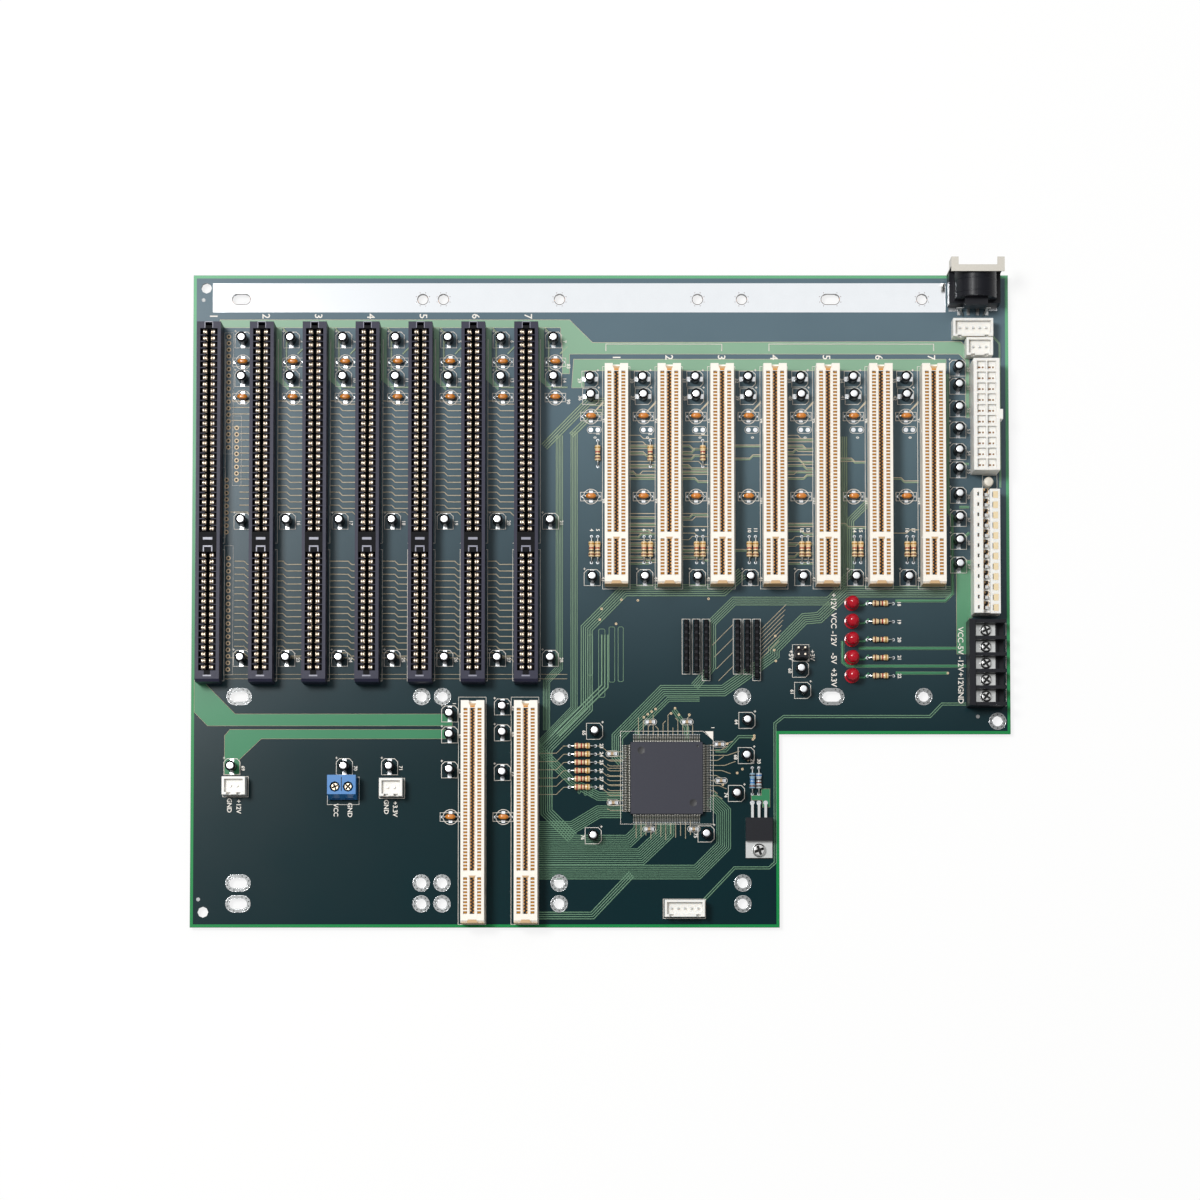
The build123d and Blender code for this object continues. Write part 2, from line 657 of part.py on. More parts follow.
def shroud(length, width):
    """White header: an open shroud with two slots in its lower wall."""
    cavity = block(length - 2 * SHROUD_WALL, width - 2 * SHROUD_WALL, SHROUD_HEIGHT - SHROUD_FLOOR)
    body = block(length, width, SHROUD_HEIGHT) - Pos(0, 0, SHROUD_FLOOR) * cavity
    slot = block(SHROUD_SLOT_WIDTH, 2 * SHROUD_WALL, SHROUD_SLOT_DEPTH)
    slot_x = length / 2 - SHROUD_WALL - SHROUD_SLOT_WIDTH
    slot_z = SHROUD_HEIGHT - SHROUD_SLOT_DEPTH
    return body - [Pos(side * slot_x, -width / 2, slot_z) * slot for side in (-1, 1)]


def shroud_pins(count):
    pin = Pos(0, 0, SHROUD_FLOOR) * block(SHROUD_PIN, SHROUD_PIN, SHROUD_PIN_HEIGHT - SHROUD_FLOOR)
    return [Pos((i - (count - 1) / 2) * SHROUD_PIN_PITCH, 0, 0) * pin for i in range(count)]


def clamp_places():
    return [(side * CLAMP_PITCH / 2, 0) for side in (-1, 1)]


def clamp_body():
    """Two-way clamp block with a sloped front over a deeper foot, screw wells and wire entries."""
    back = CLAMP_WIDTH / 2
    front = -CLAMP_WIDTH / 2
    outline = Polyline(
        (back, 0),
        (back, CLAMP_HEIGHT),
        (front + CLAMP_SLOPE, CLAMP_HEIGHT),
        (front, CLAMP_FOOT_HEIGHT),
        (front, 0),
        close=True,
    )
    body = extrude(Plane.YZ * make_face(outline), CLAMP_LENGTH / 2, both=True)
    well = prism(CLAMP_SCREW_DIAMETER + 2 * CLAMP_WELL_CLEARANCE, CLAMP_WELL_DEPTH, CAN_FLATS)
    entry = block(CLAMP_ENTRY_WIDTH, 2 * CLAMP_ENTRY_DEPTH, CLAMP_ENTRY_HEIGHT)
    for x, y in clamp_places():
        body -= Pos(x, y, CLAMP_HEIGHT - CLAMP_WELL_DEPTH) * well
        body -= Pos(x, front, CLAMP_ENTRY_FLOOR) * entry
    return body


def clamp_screws():
    height = CLAMP_WELL_DEPTH - CLAMP_SCREW_RECESS
    screw = Pos(0, 0, CLAMP_HEIGHT - CLAMP_WELL_DEPTH) * prism(CLAMP_SCREW_DIAMETER, height, CAN_FLATS)
    return [Pos(x, y, 0) * screw for x, y in clamp_places()]


def jumper_places():
    half = JUMPER_PITCH / 2
    return [(x, y) for y in (half, -half) for x in (-half, half)]


def jumper_pins():
    pin = block(JUMPER_PIN, JUMPER_PIN, JUMPER_PIN_HEIGHT - JUMPER_BASE_HEIGHT)
    return [Pos(x, y, JUMPER_BASE_HEIGHT) * pin for x, y in jumper_places()]


def jumper_cap():
    """Cap over the lower pair of pins, with one socket for each pin."""
    length, width, height = JUMPER_CAP
    cap = Pos(0, -JUMPER_PITCH / 2, JUMPER_BASE_HEIGHT) * block(length, width, height)
    socket = block(JUMPER_CAP_SOCKET, JUMPER_CAP_SOCKET, height)
    return cap - [Pos(x, y, JUMPER_BASE_HEIGHT) * socket for x, y in jumper_places()[2:]]


def barrel(diameter, length):
    """A round bar lying along Y at the socket's axis, its open end at the origin."""
    return Pos(0, 0, SOCKET_AXIS_HEIGHT) * Rot(90, 0, 0) * prism(diameter, length, WIDE_FLATS)


def socket_body():
    """Moulded socket: a barrel on a low base, a cap behind it, and a ring groove round five pole holes."""
    base = Pos(0, -SOCKET_DEPTH / 2, 0) * block(SOCKET_WIDTH, SOCKET_DEPTH, SOCKET_BASE_HEIGHT)
    groove = barrel(SOCKET_RING_OUTER, SOCKET_RING_DEPTH) - barrel(SOCKET_RING_INNER, SOCKET_RING_DEPTH)
    hole = Rot(90, 0, 0) * block(SOCKET_POLE_HOLE, SOCKET_POLE_HOLE, SOCKET_RING_DEPTH)
    start = -SOCKET_POLE_STEP * (SOCKET_POLES - 1) / 2
    pole = Pos(0, 0, SOCKET_POLE_RADIUS) * hole
    axis = Pos(0, 0, SOCKET_AXIS_HEIGHT)
    poles = [axis * Rot(0, start + i * SOCKET_POLE_STEP, 0) * pole for i in range(SOCKET_POLES)]
    cap_y = -SOCKET_BARREL_LENGTH - SOCKET_CAP_LENGTH / 2
    cap = Pos(0, cap_y, SOCKET_CAP_FLOOR) * block(SOCKET_CAP_WIDTH, SOCKET_CAP_LENGTH, SOCKET_CAP_HEIGHT)
    return base + barrel(SOCKET_BARREL_DIAMETER, SOCKET_BARREL_LENGTH) + cap - groove - poles


def socket_shield():
    """Tinned front plate with a round opening, a top flange folded back and two ears folded forward."""
    plate = Pos(0, SHIELD_THICK / 2, 0) * block(SHIELD_WIDTH, SHIELD_THICK, SHIELD_HEIGHT)
    plate -= Pos(0, SHIELD_THICK, 0) * barrel(SOCKET_RING_OUTER, SHIELD_THICK)
    fold_z = SHIELD_HEIGHT - SHIELD_THICK
    plate += Pos(0, -SHIELD_FLANGE / 2, fold_z) * block(SHIELD_WIDTH, SHIELD_FLANGE, SHIELD_THICK)
    ear_length = SOCKET_OVERHANG + SHIELD_THICK
    top = block(EAR_WIDTH, ear_length, SHIELD_THICK)
    cheek = block(SHIELD_THICK, ear_length, EAR_HEIGHT)
    for side in (-1, 1):
        plate += Pos(side * (SHIELD_WIDTH - EAR_WIDTH) / 2, ear_length / 2, fold_z) * top
        cheek_x = side * (SHIELD_WIDTH - SHIELD_THICK) / 2
        plate += Pos(cheek_x, ear_length / 2, SHIELD_HEIGHT - EAR_HEIGHT) * cheek
    return plate


def socket_tails():
    """Contact tails that leave the back of the socket and run down to the board."""
    tail = block(SOCKET_TAIL_WIDTH, SOCKET_TAIL_LENGTH, SOCKET_TAIL_THICK)
    y = -SOCKET_DEPTH - SOCKET_TAIL_LENGTH / 2
    return [
        Pos((i - (SOCKET_TAIL_COUNT - 1) / 2) * SOCKET_TAIL_PITCH, y, 0) * tail
        for i in range(SOCKET_TAIL_COUNT)
    ]


def save_slots():
    for name, housing, places in (
        ("isa_slot", isa_housing(), isa_places()),
        ("pci_slot", pci_housing(), pci_places()),
        ("cpu_slot", pci_housing(), cpu_places()),
    ):
        for i, (u, v) in enumerate(places):
            save(f"{name}_{i + 1}", [at(housing, u, v)])


def isa_cells(rows):
    """Places in rows beside each sixteen-bit slot."""
    places = isa_places()
    first = [(places[0][0] + ISA_FIRST_OFFSET, v) for v, _ in rows]
    return first + [(u + offset, v) for u, _ in places[1:] for v, offset in rows]


def pci_cells(rows):
    """Places in rows beside each fine-pitch slot."""
    return [(u + offset, v) for u, _ in pci_places() for v, offset in rows]


def save_capacitors():
    cpu_cans = [(u + CPU_CAN_OFFSET, v) for (u, _), rows in zip(cpu_places(), CPU_CAN_ROWS) for v in rows]
    supply = [(POWER_U + SUPPLY_CAN_OFFSET, v) for v in SUPPLY_CAN_ROWS]
    for name, places in (
        ("isa_capacitors", isa_cells(ISA_CAN_ROWS)),
        ("pci_capacitors", pci_cells(PCI_CAN_ROWS)),
        ("supply_capacitors", supply),
        ("board_capacitors", [*BOARD_CANS, *cpu_cans]),
    ):
        save(name, [at(can(), u, v) for u, v in places])
    cpu_ceramics = [(u + CPU_CERAMIC_OFFSET, CPU_CERAMIC_V) for u, _ in cpu_places()]
    save("isa_ceramic_capacitors", [at(ceramic(), u, v) for u, v in isa_cells(ISA_CERAMIC_ROWS)])
    fine_ceramics = pci_cells(PCI_CERAMIC_ROWS) + cpu_ceramics
    save("pci_ceramic_capacitors", [at(ceramic(), u, v) for u, v in fine_ceramics])
    chip = block(*CHIP_CAPACITOR_SIZE)
    save("chip_capacitors", [at(chip, u, v) for u, v in CHIP_CAPACITORS])


def save_resistors():
    pull_ups = [(u + offset, PULL_UP_V) for u, _ in pci_places() for offset in PULL_UP_OFFSETS]
    pull_ups += [(u + PULL_UP_OFFSETS[1], SINGLE_PULL_UP_V) for u, _ in pci_places()[:SINGLE_PULL_UPS]]
    save("pull_up_resistors", [at(resistor(), u, v) for u, v in pull_ups])
    first_u, first_v = LAMP_PLACE
    lamp_places = [(first_u, first_v - LAMP_PITCH * i) for i in range(LAMP_COUNT)]
    save("lamps", [at(lamp(), u, v) for u, v in lamp_places])
    save("lamp_resistors", [at(resistor(), u + LAMP_RESISTOR_OFFSET, v, turn=90) for u, v in lamp_places])
    chip_rows = [CHIP_RESISTOR_V - CHIP_RESISTOR_PITCH * i for i in range(CHIP_RESISTOR_COUNT)]
    save("chip_resistors", [at(resistor(), CHIP_RESISTOR_U, v, turn=90) for v in chip_rows])
    save("film_resistors", [at(resistor(), u, v) for u, v in FILM_RESISTORS])
    networks = [
        at(block(NETWORK_THICK, length, NETWORK_HEIGHT), u, NETWORK_TOP_V - length / 2)
        for u, length in zip(NETWORK_COLUMNS, NETWORK_LENGTHS)
    ]
    save("resistor_networks", networks)


def save_chip_and_regulator():
    save("bridge_chip", [at(chip_body(), *CHIP_PLACE)])
    save("regulator_tab", [at(regulator_tab(), *REGULATOR_PLACE)])
    save("regulator_body", [at(regulator_body(), *REGULATOR_PLACE)])
    save("regulator_leads", [at(lead, *REGULATOR_PLACE) for lead in regulator_leads()])
    save("regulator_screw", [at(regulator_screw(), *REGULATOR_HOLE, REGULATOR_TAB_THICK)])
    save("regulator_nut", [at(regulator_nut(), *REGULATOR_HOLE, -BOARD_THICK - NUT_THICK)])


def save_power_connectors():
    save("barrier_strip", [at(barrier_body(), POWER_U, BARRIER_V)])
    plate = block(*TERMINAL_PLATE)
    screw = prism(TERMINAL_SCREW_DIAMETER, TERMINAL_SCREW_HEIGHT, CAN_FLATS)
    screw_u = POWER_U + barrier_screw_x()
    screw_z = BARRIER_FLOOR + TERMINAL_PLATE[2]
    rows = [BARRIER_V + y for y in barrier_rows()]
    save("barrier_plates", [at(plate, screw_u, v, BARRIER_FLOOR) for v in rows])
    save("barrier_screws", [at(screw, screw_u, v, screw_z) for v in rows])
    save("atx_header", [at(atx_housing(), POWER_U, ATX_V)])
    save("atx_pins", [at(pin, POWER_U, ATX_V) for pin in atx_pins()])
    save("at_header", [at(at_housing(), POWER_U, AT_V)])
    save("at_pins", [at(pin, POWER_U, AT_V) for pin in at_pins()])
    save("wire_clamp", [at(clamp_body(), *CLAMP_PLACE)])
    save("wire_clamp_screws", [at(screw, *CLAMP_PLACE) for screw in clamp_screws()])


def save_signal_connectors():
    pins = []
    for name, (u, v, count, length, width) in SHROUDS.items():
        save(name, [at(shroud(length, width), u, v)])
        pins += [at(pin, u, v) for pin in shroud_pins(count)]
    save("header_pins", pins)
    base = block(2 * JUMPER_PITCH, 2 * JUMPER_PITCH, JUMPER_BASE_HEIGHT)
    save("jumper_base", [at(base, *JUMPER_PLACE)])
    save("jumper_pins", [at(pin, *JUMPER_PLACE) for pin in jumper_pins()])
    save("jumper_cap", [at(jumper_cap(), *JUMPER_PLACE)])
    save("reset_fuse", [at(prism(FUSE_DIAMETER, FUSE_HEIGHT, ROUND_FLATS), *FUSE_PLACE)])
    socket_u = BOARD_LENGTH - SOCKET_INSET
    socket_v = BOARD_WIDTH - SHIELD_THICK
    save("keyboard_socket", [at(socket_body(), socket_u, socket_v)])
    save("keyboard_socket_shield", [at(socket_shield(), socket_u, socket_v)])
    save("keyboard_socket_tails", [at(tail, socket_u, socket_v) for tail in socket_tails()])


save("circuit_board", [circuit_board()])
save_slots()
save_capacitors()
save_resistors()
save_chip_and_regulator()
save_power_connectors()
save_signal_connectors()
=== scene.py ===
import logging
import math
import random
from contextlib import contextmanager
from dataclasses import dataclass, field
from enum import Enum
from typing import Callable, Iterator, Sequence

import bmesh
import bpy
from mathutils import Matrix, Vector

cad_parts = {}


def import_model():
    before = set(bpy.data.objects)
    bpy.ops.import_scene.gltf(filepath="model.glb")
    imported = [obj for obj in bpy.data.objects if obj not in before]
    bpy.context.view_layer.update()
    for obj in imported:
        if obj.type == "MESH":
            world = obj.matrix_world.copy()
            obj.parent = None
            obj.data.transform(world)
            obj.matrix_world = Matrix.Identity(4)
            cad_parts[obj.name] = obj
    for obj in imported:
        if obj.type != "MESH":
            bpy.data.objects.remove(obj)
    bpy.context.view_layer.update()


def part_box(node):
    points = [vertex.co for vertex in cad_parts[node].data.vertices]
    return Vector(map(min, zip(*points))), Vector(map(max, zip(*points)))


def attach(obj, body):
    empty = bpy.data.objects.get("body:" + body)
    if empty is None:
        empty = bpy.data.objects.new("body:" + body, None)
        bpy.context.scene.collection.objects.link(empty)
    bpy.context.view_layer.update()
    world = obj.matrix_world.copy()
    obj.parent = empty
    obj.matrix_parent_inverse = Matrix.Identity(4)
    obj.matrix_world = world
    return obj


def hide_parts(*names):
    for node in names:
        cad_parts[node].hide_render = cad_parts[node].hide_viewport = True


log = logging.getLogger("backplane")
Piece = bpy.types.Object
Spot = tuple[float, float, float]
Route = Sequence[tuple[float, float]]
Rows = tuple[tuple[float, ...], ...]

MM = 0.001
BOARD_LENGTH = 315.8
BOARD_WIDTH = 253.0
FRAME_WIDTH = 256.0
BOARD_TOP = 3.6
BOARD_THICK = 1.6
NOTCH_LENGTH = 89.2
NOTCH_WIDTH = 74.5
SLOT_PITCH = 20.32
WIDE_PITCH = 2.54
FINE_PITCH = 1.27
PATCH_THICK = 0.03
SQUARE_ON = 0.9


class Lie(Enum):
    """How a small part lies on the board: along the slots or across them, as a turn in degrees."""

    ALONG = 0
    ACROSS = 90


def spot(u: float, v: float, z: float = 0.0) -> Vector:
    """A place in the frame from board coordinates.

    Args:
        u: Millimetres from the board's left edge.
        v: Millimetres from its lower edge.
        z: Millimetres over its component side.

    Returns:
        The place in metres.
    """
    return Vector((u - BOARD_LENGTH / 2, v - FRAME_WIDTH / 2, BOARD_TOP + z)) * MM


def board_uv(place: Vector) -> tuple[float, float]:
    """Board coordinates in millimetres of a place in the frame."""
    return place.x / MM + BOARD_LENGTH / 2, place.y / MM + FRAME_WIDTH / 2


def middle(box: tuple[Vector, Vector]) -> Vector:
    """The middle of a box, on its base."""
    low, high = box
    return Vector(((low.x + high.x) / 2, (low.y + high.y) / 2, low.z))


def lie(box: tuple[Vector, Vector]) -> Lie:
    """How the part in a box lies."""
    low, high = box
    return Lie.ALONG if high.y - low.y > high.x - low.x else Lie.ACROSS


def solids(node: str) -> list[tuple[Vector, Vector]]:
    """The box of each separate solid in a frame node, in reading order.

    Args:
        node: The node's name.

    Returns:
        Lowest and highest corners, in metres.
    """
    mesh = bmesh.new()
    mesh.from_mesh(bpy.data.objects[node].data)
    bmesh.ops.remove_doubles(mesh, verts=mesh.verts, dist=MM * 0.001)
    left = set(mesh.verts)
    boxes = []
    while left:
        heap = [left.pop()]
        low, high = heap[0].co.copy(), heap[0].co.copy()
        while heap:
            point = heap.pop()
            low = Vector(map(min, low, point.co))
            high = Vector(map(max, high, point.co))
            for edge in point.link_edges:
                other = edge.other_vert(point)
                if other in left:
                    left.remove(other)
                    heap.append(other)
        boxes.append((low, high))
    mesh.free()
    return sorted(boxes, key=lambda box: (-round(box[0].y, 4), round(box[0].x, 4)))


def linear(code: str) -> tuple[float, float, float, float]:
    """A linear colour from an sRGB hex code such as #20363a."""
    parts = [int(code[i:i + 2], 16) / 255 for i in (1, 3, 5)]
    return (*[c / 12.92 if c <= 0.04045 else ((c + 0.055) / 1.055) ** 2.4 for c in parts], 1)


def add_node(tree: bpy.types.NodeTree, kind: str, inputs: dict | None = None, **settings) -> bpy.types.Node:
    """Adds a node with its settings and links.

    Args:
        tree: The node tree.
        kind: The node's type name.
        inputs: Value or output socket for each input, by name or number.
        settings: Properties of the node.

    Returns:
        The node.
    """
    node = tree.nodes.new(kind)
    for name, value in settings.items():
        setattr(node, name, value)
    for key, value in (inputs or {}).items():
        if isinstance(value, bpy.types.NodeSocket):
            tree.links.new(value, node.inputs[key])
        else:
            node.inputs[key].default_value = value
    return node


@dataclass(frozen=True)
class Finish:
    """A material: what it is made of and how its surface was made.

    The grain is the size of its unevenness in millimetres, and relief is how deep that is.
    """

    name: str
    colour: str
    shade: str
    roughness: float
    grain: float = 1.0
    relief: float = 0.01
    metallic: float = 0.0
    ior: float = 1.5
    coat: float = 0.0
    see_through: float = 0.0
    scatter: float = 0.0
    stretch: Spot = (1, 1, 1)

    def material(self) -> bpy.types.Material:
        """The material, made once."""
        if self.name in bpy.data.materials:
            return bpy.data.materials[self.name]
        material = bpy.data.materials.new(self.name)
        material.use_nodes = True
        tree = material.node_tree
        shader = tree.nodes["Principled BSDF"]
        for name, value in (("Metallic", self.metallic), ("IOR", self.ior), ("Coat Weight", self.coat),
                            ("Coat Roughness", 0.08), ("Transmission Weight", self.see_through),
                            ("Subsurface Weight", self.scatter), ("Subsurface Radius", (1, 0.9, 0.8)),
                            ("Subsurface Scale", 1.5 * MM)):
            shader.inputs[name].default_value = value
        self.dress(tree, shader)
        return material

    def dress(self, tree: bpy.types.NodeTree, shader: bpy.types.Node) -> None:
        """Adds the uneven colour, gloss and relief of the surface.

        Args:
            tree: The material's nodes.
            shader: Its surface shader.
        """
        place = add_node(tree, "ShaderNodeTexCoord").outputs["Object"]
        drawn_out = add_node(tree, "ShaderNodeMapping", {"Vector": place, "Scale": self.stretch})
        scale = 1 / (self.grain * MM)
        noise = add_node(tree, "ShaderNodeTexNoise",
                         {"Vector": drawn_out.outputs["Vector"], "Scale": scale, "Detail": 4, "Roughness": 0.6})
        level = noise.outputs["Fac"]
        colour = add_node(tree, "ShaderNodeMix", {0: level, 6: linear(self.colour), 7: linear(self.shade)},
                          data_type="RGBA")
        gloss = add_node(tree, "ShaderNodeMapRange",
                         {"Value": level, "To Min": self.roughness * 0.85, "To Max": self.roughness * 1.15})
        bump = add_node(tree, "ShaderNodeBump", {"Height": level, "Distance": self.relief * MM, "Strength": 0.6})
        tree.links.new(colour.outputs[2], shader.inputs["Base Color"])
        tree.links.new(gloss.outputs["Result"], shader.inputs["Roughness"])
        tree.links.new(bump.outputs["Normal"], shader.inputs["Normal"])


# Moulded PBT with a fine spark-eroded texture: a soft grey sheen on near-black.
BLACK_PBT = Finish("moulded_black_pbt", "#2b2b40", "#242436", 0.42, 0.5, 0.01, ior=1.3)
# The same moulding painted darker as shade, for its insides that the lamps hardly reach.
BLACK_PBT_PAINTED_SHADE = Finish("shaded_black_pbt", "#0c0c10", "#101014", 0.6, 0.5, ior=1.2)
# The same moulding painted pale as the highlight on edges that catch the lamps.
BLACK_PBT_PAINTED_HIGHLIGHT = Finish("polished_black_pbt", "#8a8a9a", "#777787", 0.3, 0.5)
# Moulded ivory PBT, slightly waxy, whiter where it faces the lamps.
IVORY_PBT = Finish("moulded_ivory_pbt", "#f8f2e8", "#f2eadc", 0.45, 0.7, 0.008, scatter=0.25)
# White nylon of pin headers: cooler and greyer than the ivory slots, with a dull gloss.
WHITE_NYLON = Finish("moulded_white_nylon", "#f3f1ec", "#e9e6df", 0.4, 0.8, 0.008, scatter=0.5)
# Blue polyamide of the clamp block, glossy from its mould.
BLUE_PA = Finish("moulded_blue_polyamide", "#1d78bd", "#186aab", 0.3, 0.8, 0.006)
# Black phenolic of the terminal block and sockets: a harder gloss than the slots.
BLACK_PHENOLIC = Finish("moulded_black_phenolic", "#121318", "#181920", 0.35, 0.6, 0.01, ior=1.3)
# Shrunk PVC sleeve: deep black with a wet-looking gloss.
PVC_SLEEVE = Finish("shrunk_pvc_sleeve", "#050609", "#08090d", 0.22, 0.9, 0.01, ior=1.25)
# Pressed aluminium can top, bright with a faint radial drawing texture.
PRESSED_ALUMINIUM = Finish("pressed_aluminium", "#e2e4e6", "#cfd2d5", 0.3, 0.4, 0.004, metallic=1)
# Dipped resin of ceramic capacitors: burnt orange with thin drips.
DIPPED_RESIN = Finish("dipped_orange_resin", "#d4852e", "#b86a1c", 0.3, 0.9, 0.02, coat=0.2)
# Lacquered resistor body, a warm sand colour.
SAND_LACQUER = Finish("sand_lacquer", "#e6cfa6", "#dcc090", 0.3, 0.7, 0.01, coat=0.1)
# Blue-grey lacquer of film resistors.
BLUE_LACQUER = Finish("blue_lacquer", "#8fb0c4", "#7397ad", 0.3, 0.7, 0.01, coat=0.3)
# Ink of the colour bands, in the common band colours.
BAND_BROWN = Finish("brown_band_ink", "#7a3b1c", "#63300f", 0.4, 0.5)
BAND_BLACK = Finish("black_band_ink", "#1d1a18", "#2b2522", 0.4, 0.5)
BAND_RED = Finish("red_band_ink", "#a8281c", "#8e2017", 0.4, 0.5)
BAND_GOLD = Finish("gold_band_ink", "#b88a3a", "#a87a2c", 0.35, 0.5)
BAND_BLUE = Finish("blue_band_ink", "#2f6fb0", "#2a639e", 0.4, 0.5)
# The paler lacquer of the second film resistor.
PALE_LACQUER = Finish("pale_grey_lacquer", "#bcc3c6", "#a9b1b5", 0.3, 0.7, 0.01, coat=0.3)
# Red tinted epoxy of the lamps, which glows a little where light passes through it.
RED_EPOXY = Finish("red_tinted_epoxy", "#c4142a", "#ab0d20", 0.12, 2, 0, ior=1.4, see_through=0.12)
# Transfer-moulded epoxy of chips: matt charcoal.
CHIP_EPOXY = Finish("chip_mould_epoxy", "#33343f", "#2b2c37", 0.5, 0.3, 0.01, ior=1.35)
# The same epoxy painted darker as the shade in a mould mark.
EPOXY_PAINTED_SHADE = Finish("chip_mould_mark", "#0d0e12", "#121318", 0.45, 0.3, 0.005)
# Cream plastic seen through the windows of the power header's low wall.
CREAM_PBT = Finish("moulded_cream_pbt", "#ead7b2", "#e0c99c", 0.5, 0.7, 0.008)
# Cream epoxy of the round fuse.
CREAM_EPOXY = Finish("cream_epoxy", "#e6e0d4", "#d6cebf", 0.4, 0.8, 0.01)
# Sintered chip capacitor body.
SINTERED_CERAMIC = Finish("sintered_tan_ceramic", "#b59a78", "#a38864", 0.45, 0.4)
# Hot-air levelled tin: bright and slightly wavy.
LEVELLED_TIN = Finish("levelled_tin", "#d8dadc", "#cacdd0", 0.24, 3, 0.02, metallic=1)
# The wide earth strip, levelled so flat that it shows the softbox as an even white.
STRIP_TIN = Finish("levelled_tin_strip", "#dde0e3", "#d6d9dc", 0.09, 6, 0.001, metallic=1)
# Tin on the lands round the screw holes, scuffed grey by screw heads.
LAND_TIN = Finish("scuffed_tin_land", "#868888", "#737575", 0.5, 0.7, 0.02, metallic=1)
# Deep-drawn tinned steel of the socket's shield, greyer than the pins.
DRAWN_SHIELD = Finish("drawn_tinned_shield", "#c6c2b9", "#b5b1a8", 0.35, 0.8, 0.01, metallic=1)
# Bare tin plate on legs and terminal plates.
TIN_PLATE = Finish("tin_plate", "#cfd0ce", "#b6b8b8", 0.3, 0.8, 0.01, metallic=1)
# Tin-lead plate of fine chip leads, greyer for the gaps between them.
LEAD_PLATE = Finish("tin_lead_plate", "#c8c6be", "#b4b2aa", 0.4, 0.6, 0.01, metallic=1)
# Thin gold over nickel on contacts: pale straw, with sharp glints.
GOLD_FLASH = Finish("gold_flash", "#fff3e4", "#f5e0c4", 0.32, 0.6, 0.006, metallic=1)
# The same plate deep in the ivory slot's windows, where light comes back burnt orange from the plastic round it.
AMBER_CONTACT = Finish("amber_lit_contact", "#c4882a", "#a86e1a", 0.5, 0.5, 0.01, ior=1.2)
# The contacts' noses in the slot's groove, nearer the light: a clearer orange.
AMBER_NOSE = Finish("amber_lit_nose", "#dc9c4c", "#c98436", 0.4, 0.5, 0.01, ior=1.3)
# Tan painted on the pale mouldings as their warm shade, at the slots' cut-away ends and deep in the power header's
# cells.
TAN_PAINTED_SHADE = Finish("shaded_tan_pbt", "#cba87c", "#bf996a", 0.5, 0.7, 0.01)
# Tin of the pins deep in the white cells, where the light that reaches them is brown.
SHADED_TIN = Finish("shaded_pin_tin", "#8d6a48", "#7a5a3c", 0.5, 0.6, 0.01, ior=1.3)
# Zinc-plated steel of screws.
ZINC_STEEL = Finish("zinc_plated_steel", "#d6d6d2", "#c2c3c4", 0.28, 0.7, 0.01, metallic=1)
# Nickel-plated brass of the clamp's screws, warmer than zinc.
CLAMP_STEEL = Finish("nickel_plated_brass", "#dccdb4", "#c7b79c", 0.3, 0.6, 0.01, metallic=1)
# Cured ink of the printed marks.
PRINT_INK = Finish("white_print_ink", "#f3eee6", "#e9e3d9", 0.6, 0.6)
# Copper ring round a plated hole, under a dull film of flux: tan, without a mirror.
COPPER_RING = Finish("fluxed_copper_ring", "#e6cfae", "#d6bb94", 0.4, 0.6, 0.002, ior=1.3)
# Bare copper at the drilled edges of the strip's holes.
BARE_COPPER = Finish("bare_copper_edge", "#6b4a34", "#5c3f2c", 0.08, 0.5, 0.001, metallic=1)
# Painted shade: the dark in drilled holes, recesses, grooves and gaps.
PAINTED_SHADE_BLACK = Finish("hole_shadow", "#0b0d0e", "#121415", 0.7, 0.5)


